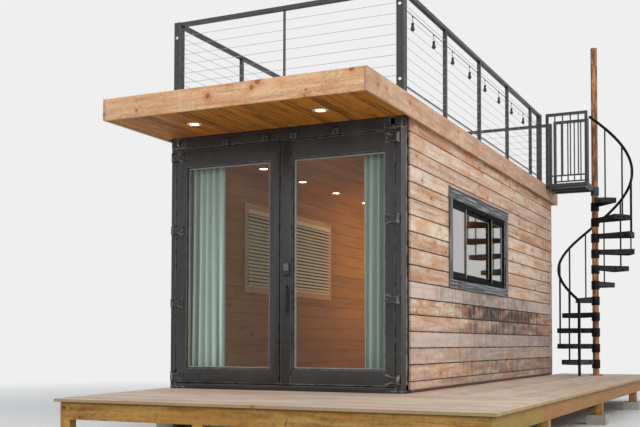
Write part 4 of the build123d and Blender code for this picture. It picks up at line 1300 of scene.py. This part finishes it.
def makeRails():
    foot, top, left, right = [railLook[key] for key in ("foot", "top", "left", "right")]
    front, rear, rightEnd = [railLook[key] for key in ("front", "rear", "rightEnd")]
    corner, mid, end = [railLook[key] / 2 for key in ("cornerPost", "midPost", "endPost")]
    wide, under = railLook["bar"][0] / 2, top - railLook["bar"][1]
    middle = (left + right) / 2
    bolts, steel = [], {}
    stops = {"front": [(left, corner), (right, corner)],
             "rear": [(left, corner), (middle, mid), (right, corner)]}
    for name, y, size in (("front", front, railLook["stay"]), ("rear", rear, railLook["midPost"])):
        parts = steel[name] = [block((left + corner, y - wide, under), (right - corner, y + wide, top)),
                               upright(middle, y, (foot, under), size)]
        for x in (left, right):
            parts.append(upright(x, y, (foot, top), railLook["cornerPost"]))
            footPlate(x, y, railLook["plate"], parts, bolts)
    footPlate(middle, rear, railLook["smallPlate"], steel["rear"], bolts)
    for name, x, finish in (("left", left, rear - corner), ("right", right, rightEnd)):
        start, low, half = front + corner, foot + railLook["lowBar"], railLook["lowBarSize"] / 2
        parts = steel[name] = [block((x - wide, start, under), (x + wide, finish, top)),
                               block((x - half, start, low - half), (x + half, finish, low + half))]
        count = int((finish - railLook["firstMid"]) // railLook["midPitch"]) + 1
        places = [railLook["firstMid"] + index * railLook["midPitch"] for index in range(count)]
        for y in places:
            parts.append(upright(x, y, (foot, under), railLook["midPost"]))
            footPlate(x, y, railLook["smallPlate"], parts, bolts)
        stops[name] = [(front, corner)] + [(y, mid) for y in places] + [(rear, corner)]
        if name == "right":
            parts.append(upright(x, finish - end, (foot, top), railLook["endPost"]))
            footPlate(x, finish - end, railLook["smallPlate"], parts, bolts)
            stops[name][-1] = (finish - end, end)
    for name, parts in steel.items():
        dressed(["roof_rail_" + name], joined(parts, "rail" + name.capitalize()), "railPaint")
        axis, fixed = {"front": (0, front), "rear": (0, rear), "left": (1, left), "right": (1, right)}[name]
        added(strungPanel(axis, fixed, stops[name]), "cables" + name.capitalize(), "stainless")
    bolts += [moved(patterns["capHead"], at(x, front - corner, z), turned(90, "X"))
              for x in (left, right) for z in railLook["capHeights"]]
    added(bolts, "railBolts", "stainless")


# Glazed doors

doorLook = {
    "glassX": {"left": (-1.034, -0.108), "right": (0.136, 1.062)}, "glassZ": (0.200, 2.173),
    "glassFront": 0.030, "glassBack": 0.044, "bead": 0.012, "gasket": 0.0055, "gasketDeep": 0.009,
    "clear": 0.0003, "boltX": (1.084, 1.112), "strapHeights": (0.120, 0.834, 1.552, 2.281),
    "strapFace": -0.010,
}


def ringOfBlocks(low, high, width, flat):
    # four strips round an opening, inside it, in a ring that is flat along this axis
    across = 1 - flat
    parts = []
    for axis, other in ((2, None), (across, 2)):
        for near in (True, False):
            foot, top = list(low), list(high)
            if near:
                top[axis] = low[axis] + width
            else:
                foot[axis] = high[axis] - width
            if other:
                foot[other], top[other] = low[other] + width, high[other] - width
            parts.append(block(foot, top))
    return parts


def makeDoorDetails():
    bead, clear, deep = doorLook["bead"], doorLook["clear"], doorLook["gasketDeep"]
    foot, top = doorLook["glassZ"][0] + bead, doorLook["glassZ"][1] - bead
    front, back = doorLook["glassFront"], doorLook["glassBack"]
    for side, edge in (("left", -1), ("right", 1)):
        first, last = doorLook["glassX"][side]
        gasket = []
        for near, far in ((front - deep, front - clear), (back + clear, back + deep)):
            low, high = (first + bead, near, foot), (last - bead, far, top)
            gasket += ringOfBlocks(low, high, doorLook["gasket"], 1)
        added(gasket, side + "DoorGasket", "gasket", side + "_door")
        bolts = [moved(patterns["bolt"], at(edge * x, doorLook["strapFace"], z), turned(90, "X"))
                 for z in doorLook["strapHeights"] for x in doorLook["boltX"]]
        added(bolts, side + "DoorBolts", "charcoal", side + "_door")


lockLook = {
    "x": (0.051, 0.117), "z": (1.076, 1.200), "face": -0.038, "split": 1.118, "sunk": 0.004,
    "padIn": 0.007, "padTop": 0.010, "padOut": 0.002,
    "guardIn": 0.004, "guardTop": 0.006, "guardOut": 0.006, "cylinder": 0.019,
}


def makeLock():
    # a keypad lock: dark body, keypad above, cylinder guard and keyway below
    dressed(["door_lock"], copyOfNode("door_lock", "doorLock", 0.004, 3), "lockBody", "right_door")
    (left, right), (foot, top), face, split = [lockLook[key] for key in ("x", "z", "face", "split")]
    pad, guard, out = [lockLook[key] for key in ("padIn", "guardIn", "guardOut")]
    added([block((left + guard, face - out, foot + guard),
                 (right - guard, face + lockLook["sunk"], split - lockLook["guardTop"]))],
          "lockGuard", "fitting", "right_door")
    added([block((left + pad, face - lockLook["padOut"], split),
                 (right - pad, face + lockLook["sunk"], top - lockLook["padTop"]))],
          "lockPad", "lockPad", "right_door")
    keyway = at((left + right) / 2, face - out, foot + lockLook["cylinder"])
    added([moved(patterns["bolt"], keyway, turned(90, "X"))], "lockCylinder", "fitting", "right_door")


handleLook = {"x": 0.084, "face": -0.017, "fixings": (0.712, 0.998)}


def makeHandle():
    # long plate and bow grip, with a dark round fixing at each end
    dressed(["door_handle"], copyOfNode("door_handle", "doorHandle", 0.004, 3), "handle", "right_door")
    heads = [moved(patterns["fixing"], at(handleLook["x"], handleLook["face"], z), turned(90, "X"))
             for z in handleLook["fixings"]]
    added(heads, "handleFixings", "fitting", "right_door")


# Windows on both long sides

windowLook = {
    "y": (1.412, 3.414), "z": (1.138, 1.873), "face": 1.236, "setback": 0.006, "step": 0.024, "sash": 0.042,
    "pane": 0.006, "gasket": 0.004, "gasketDeep": 0.0045, "clear": 0.0003, "felt": (0.002, 0.009),
    "latch": (0.022, 0.014, 0.070),
}


def sidewaysBlock(xs, ys, zs):
    return block((min(xs), ys[0], zs[0]), (max(xs), ys[1], zs[1]))


def makeWindowDetails():
    # rubber seals round each pane, felt strips where the sashes meet, and finger latches
    seals, felts, latches = [], [], []
    (low, high), (foot, top), sash = windowLook["y"], windowLook["z"], windowLook["sash"]
    quarter, pane = (high - low) / 4, windowLook["pane"] / 2
    spans = [(low, low + quarter + sash / 2), (low + quarter - sash / 2, high - quarter + sash / 2),
             (high - quarter - sash / 2, high)]
    for index, (start, end) in enumerate(spans):
        front = windowLook["face"] - windowLook["setback"] - (windowLook["step"] if index == 1 else 0)
        middle = front - windowLook["step"] / 2
        near, far = pane + windowLook["clear"], pane + windowLook["gasketDeep"]
        for side in (-1, 1):
            for x in ((middle + near, middle + far), (middle - far, middle - near)):
                x = sorted(side * value for value in x)
                seals += ringOfBlocks((x[0], start + sash, foot + sash), (x[1], end - sash, top - sash),
                                      windowLook["gasket"], 0)
    added(seals, "windowSeals", "gasket")
    thick, strip = windowLook["felt"]
    wide, deep, tall = windowLook["latch"]
    middle = (foot + top) / 2
    for side in (-1, 1):
        x = side * (windowLook["face"] - windowLook["setback"])
        inner = x - side * windowLook["step"]
        for y in (low + quarter, high - quarter):
            felts.append(sidewaysBlock((x, x + side * thick), (y - strip / 2, y + strip / 2), (foot, top)))
            latches.append(sidewaysBlock((inner, inner - side * deep), (y - wide / 2, y + wide / 2),
                                         (middle - tall / 2, middle + tall / 2)))
    added(felts, "windowInterlocks", "interlock")
    added(latches, "windowLatches", "fitting")


# Blind inside the left window: head rail, tilted slats, ladder cords, bottom rail

blindLook = {
    "x": (-1.118, -1.092), "y": (1.345, 3.481), "z": (1.071, 1.940),
    "head": 0.045, "headGap": 0.012, "foot": 0.022, "footDeep": 0.020,
    "slat": (0.048, 0.0028), "slatShort": 0.004, "slatEdge": 0.0009,
    "pitch": 0.040, "tilt": 58, "uneven": 2.5,
    "cords": 5, "cordIn": 0.12, "cordOut": 0.0125, "cordEnds": (0.010, 0.020), "cordRadius": 0.0008,
}


def makeBlind():
    x, y, z = [blindLook[axis] for axis in "xyz"]
    middle, wide = (x[0] + x[1]) / 2, y[1] - y[0]
    deep = blindLook["footDeep"] / 2
    parts = [block((x[0], y[0], z[1] - blindLook["head"]), (x[1], y[1], z[1])),
             block((middle - deep, y[0], z[0]), (middle + deep, y[1], z[0] + blindLook["foot"]))]
    half = Vector((blindLook["slat"][0] / 2, wide / 2 - blindLook["slatShort"], blindLook["slat"][1] / 2))
    slat = stretched(patterns["slat"], -half, half)
    across, = newAttributes(slat.data, {"across": "FLOAT"})
    for index, vertex in enumerate(slat.data.vertices):
        across[index].value = 0.5 - vertex.co.x / blindLook["slat"][0]
    height = z[0] + blindLook["foot"] + blindLook["pitch"] * 0.7
    while height < z[1] - blindLook["head"] - blindLook["headGap"]:
        uneven = random.uniform(-blindLook["uneven"], blindLook["uneven"])
        place = at(middle, (y[0] + y[1]) / 2, height)
        parts.append(moved(slat, place, turned(blindLook["tilt"] + uneven, "Y")))
        height += blindLook["pitch"]
    bpy.data.objects.remove(slat)
    dressed(["window_blind"], joined(parts, "windowBlind"), "blind")
    cords = []
    foot, top = z[0] + blindLook["cordEnds"][0], z[1] - blindLook["cordEnds"][1]
    pitch = (wide - 2 * blindLook["cordIn"]) / (blindLook["cords"] - 1)
    for index in range(blindLook["cords"]):
        place = y[0] + blindLook["cordIn"] + index * pitch
        for out in (middle - blindLook["cordOut"], middle + blindLook["cordOut"]):
            cords.append(roundBar((out, place, foot), (out, place, top), blindLook["cordRadius"], 6))
    added(cords, "blindCords", "blindCord")


casing = {"width": 0.066, "depth": 0.014, "wall": 1.1179, "gap": 0.0005}


def makeCasings():
    # flat boards round both windows on the inside
    parts = []
    (low, high), (foot, top), width, gap = blindLook["y"], blindLook["z"], casing["width"], casing["gap"]
    for side in (-1, 1):
        x = (side * casing["wall"], side * (casing["wall"] - casing["depth"]))
        for ys, zs in (((low - width, high + width), (top + gap, top + width)),
                       ((low - width, high + width), (foot - width, foot - gap)),
                       ((low - width, low - gap), (foot, top)), ((high + gap, high + width), (foot, top))):
            parts.append(sidewaysBlock(x, ys, zs))
    piece = joined(parts, "windowCasings")
    giveGrain(piece)
    dressed([], piece, "casing")


# Curtains on rings, gathered into uneven folds

curtainLook = {
    "rodZ": 2.2003, "rodY": 0.170, "top": 2.186, "hem": 0.068, "depth": 0.037, "folds": 0.074,
    "columnsPerMetre": 190 / 0.576, "rows": 30, "thickness": 0.0016, "fullness": 1.75,
    "ringPitch": 0.085, "ringIn": 0.02, "ringSway": 6,
    "left": (-1.098, -0.702, 1.3), "right": (0.802, 1.088, 4.1),
}


def foldShape(along, down, seed):
    # folds are regular at the heading and wander and open towards the hem
    phase = 0.9 * math.sin(along * 7.3 + seed) + 0.5 * math.sin(along * 16.1 + seed * 2.3)
    drift = down * 1.1 * math.sin(along * 5.1 + seed * 1.7)
    wave = math.sin(2 * math.pi * along / curtainLook["folds"] + phase + drift)
    second = 0.28 * math.sin(4 * math.pi * along / curtainLook["folds"] + seed + down * 1.6)
    depth = curtainLook["depth"] * (0.72 + 0.20 * math.sin(along * 9.7 + seed * 3.1) + 0.10 * down)
    return depth * (wave + second) / 1.28


def makeCurtain(side):
    start, end, seed = curtainLook[side]
    wide = end - start
    tall = curtainLook["top"] - curtainLook["hem"]
    columns = round(curtainLook["columnsPerMetre"] * wide)
    deselectAll()
    bpy.ops.mesh.primitive_grid_add(x_subdivisions=columns, y_subdivisions=curtainLook["rows"], size=1)
    cloth = bpy.context.object
    cloth.name = side + "Curtain"
    weave, ridge = newAttributes(cloth.data, {"cloth": "FLOAT_VECTOR", "ridge": "FLOAT"})
    for index, vertex in enumerate(cloth.data.vertices):
        across, down = vertex.co.x + 0.5, 0.5 - vertex.co.y
        along = across * wide
        deep = foldShape(along, down, seed)
        slope = (foldShape(along + 0.002, down, seed) - foldShape(along - 0.002, down, seed)) / 0.004
        pull = 0.006 * math.sin(along * 11 + down * 2.0 + seed) * down
        weave[index].vector = (along * 2.0, down * tall, seed)
        # 0 in the valleys and 1 on the ridges that stand out towards the glass, which sets the painted
        # shade of the folds
        ridge[index].value = 0.5 - 0.5 * deep / curtainLook["depth"]
        lift = 0.004 * math.sin(along * 23 + seed) * max(0, down - 0.9) * 10
        x = min(max(start + along + pull - 0.003 * slope, start), end)
        vertex.co = at(x, curtainLook["rodY"] + deep, curtainLook["top"] - down * tall + lift)
    makeActive(cloth)
    thick = cloth.modifiers.new("thickness", "SOLIDIFY")
    thick.thickness = curtainLook["thickness"]
    thick.offset = 0
    bpy.ops.object.modifier_apply(modifier="thickness")
    bpy.ops.object.shade_smooth()
    dressed(["curtain_" + side], cloth, "curtain")
    count = max(3, round(wide / curtainLook["ringPitch"]))
    pitch = (wide - 2 * curtainLook["ringIn"]) / (count - 1)
    rings = []
    for index in range(count):
        x = start + curtainLook["ringIn"] + index * pitch
        sway = random.uniform(-curtainLook["ringSway"], curtainLook["ringSway"])
        turn = turned(90, "Y") @ turned(sway, "X")
        rings.append(moved(patterns["ring"], at(x, curtainLook["rodY"], curtainLook["rodZ"]), turn))
    added(rings, side + "CurtainRings", "fitting")


# Recessed lights in the ceiling and the soffit

lampLook = {
    "ring": 0.072, "drop": 0.006, "ease": 0.0018, "cone": (0.026, 0.003), "recess": 0.004,
    "soffit": ((-0.648, -0.477), (0.648, -0.477)), "soffitZ": 2.475, "ceilingZ": 2.340,
    "ceilingX": 0.820, "ceilingStart": 1.180, "ceilingPitch": 0.950, "ceilingRows": 5,
}


def makeLampPattern():
    # a turned ring with its lens set up into it
    deselectAll()
    bpy.ops.mesh.primitive_cylinder_add(vertices=40, radius=lampLook["ring"], depth=lampLook["drop"])
    lamp = bpy.context.object
    lamp.data.materials.append(finishes["ring"])
    lamp.data.materials.append(finishes["lens"])
    easeEdges(lamp, lampLook["ease"], 3, 60)
    bpy.ops.object.mode_set(mode="EDIT")
    bpy.ops.mesh.select_all(action="DESELECT")
    shape = bmesh.from_edit_mesh(lamp.data)
    face = min(shape.faces, key=lambda face: face.calc_center_median().z - face.calc_area())
    face.select = True
    bmesh.update_edit_mesh(lamp.data)
    for thickness in lampLook["cone"]:
        bpy.ops.mesh.inset(thickness=thickness)
    bpy.ops.transform.translate(value=(0, 0, lampLook["recess"]))
    lamp.active_material_index = 1
    bpy.ops.object.material_slot_assign()
    bpy.ops.object.mode_set(mode="OBJECT")
    return lamp


def makeLamps():
    pattern = makeLampPattern()
    half = lampLook["drop"] / 2
    places = [(x, y, lampLook["soffitZ"] - half) for x, y in lampLook["soffit"]]
    for index in range(lampLook["ceilingRows"]):
        y = lampLook["ceilingStart"] + index * lampLook["ceilingPitch"]
        places += [(side * lampLook["ceilingX"], y, lampLook["ceilingZ"] - half) for side in (-1, 1)]
    lamps = joined([moved(pattern, at(*place)) for place in places], "recessedLights")
    bpy.data.objects.remove(pattern)
    smoothed(lamps)
    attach(lamps, "root")
    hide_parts("recessed_lights")


# Screws that hold the deck boards to their joists

screwLook = {
    "edge": 0.030, "stray": 0.005, "joists": 0.56,
    # joists under the front boards, counted from their left end and from the seam
    "ends": 0.05, "fromLeft": (0, 0.55, 1.12, 1.70), "fromSeam": (0.02, 0.66, 1.30),
    "firstBeside": 0.03, "lastBeside": 0.04,
}


def makeDeckScrews():
    low, high, seam, back, across, beside = deckLayout()
    places = []
    for start, end in across:
        left = low.x + deck["skew"] * (back - (start + end) / 2) / (back - low.y) + screwLook["ends"]
        joists = [left + reach for reach in screwLook["fromLeft"]]
        joists += [seam + reach for reach in screwLook["fromSeam"]] + [high.x - screwLook["ends"]]
        for x in joists:
            places += [(x, y) for y in (start + screwLook["edge"], end - screwLook["edge"])]
    count = round((high.y - back) / screwLook["joists"])
    first = back + screwLook["firstBeside"]
    run = high.y - screwLook["lastBeside"] - first
    for start, end in beside:
        for index in range(count + 1):
            y = first + index * run / count
            places += [(x, y) for x in (start + screwLook["edge"], end - screwLook["edge"])]
    stray = screwLook["stray"]
    screws = []
    for x, y in places:
        place = (x + random.uniform(-stray, stray), y + random.uniform(-stray, stray), high.z)
        screws.append(moved(patterns["screw"], place))
    added(screws, "deckScrews", "screwHead")


heads = {
    # radius, height and sides
    "bolt": (0.0085, 0.006, 6), "capHead": (0.017, 0.009, 20), "fixing": (0.010, 0.005, 16),
    "ferrule": (0.0058, 0.004, 10), "screw": (0.0045, 0.0004, 8),
}
curtainRing = {"major_radius": 0.0145, "minor_radius": 0.0019, "major_segments": 24, "minor_segments": 8}


def makePatterns():
    patterns["board"] = easedBlock(boardLook["arris"], "boardPattern", 2)
    patterns["steel"] = easedBlock(railLook["arris"], "steelPattern", 1)
    patterns["slat"] = easedBlock(blindLook["slatEdge"], "slatPattern", 1)
    for name, (radius, height, sides) in heads.items():
        patterns[name] = turnedHead(name + "Pattern", radius, height, sides)
    deselectAll()
    bpy.ops.mesh.primitive_torus_add(**curtainRing)
    patterns["ring"] = bpy.context.object


# Build the scene

finishNodes()
makePatterns()
makeCladding()
makeDeck()
makeSlabs()
makeLining()
print("boards laid")
makeTimbers()
makeSteel()
print("frames dressed")
makeRails()
print("rails strung")
makeDoorDetails()
makeLock()
makeHandle()
makeWindowDetails()
makeBlind()
makeCasings()
makeCurtain("left")
makeCurtain("right")
makeLamps()
makeDeckScrews()
print("fittings in place")
for pattern in patterns.values():
    bpy.data.objects.remove(pattern)

placeCamera()
lightStudio()
layFloor()

print("scene ready")
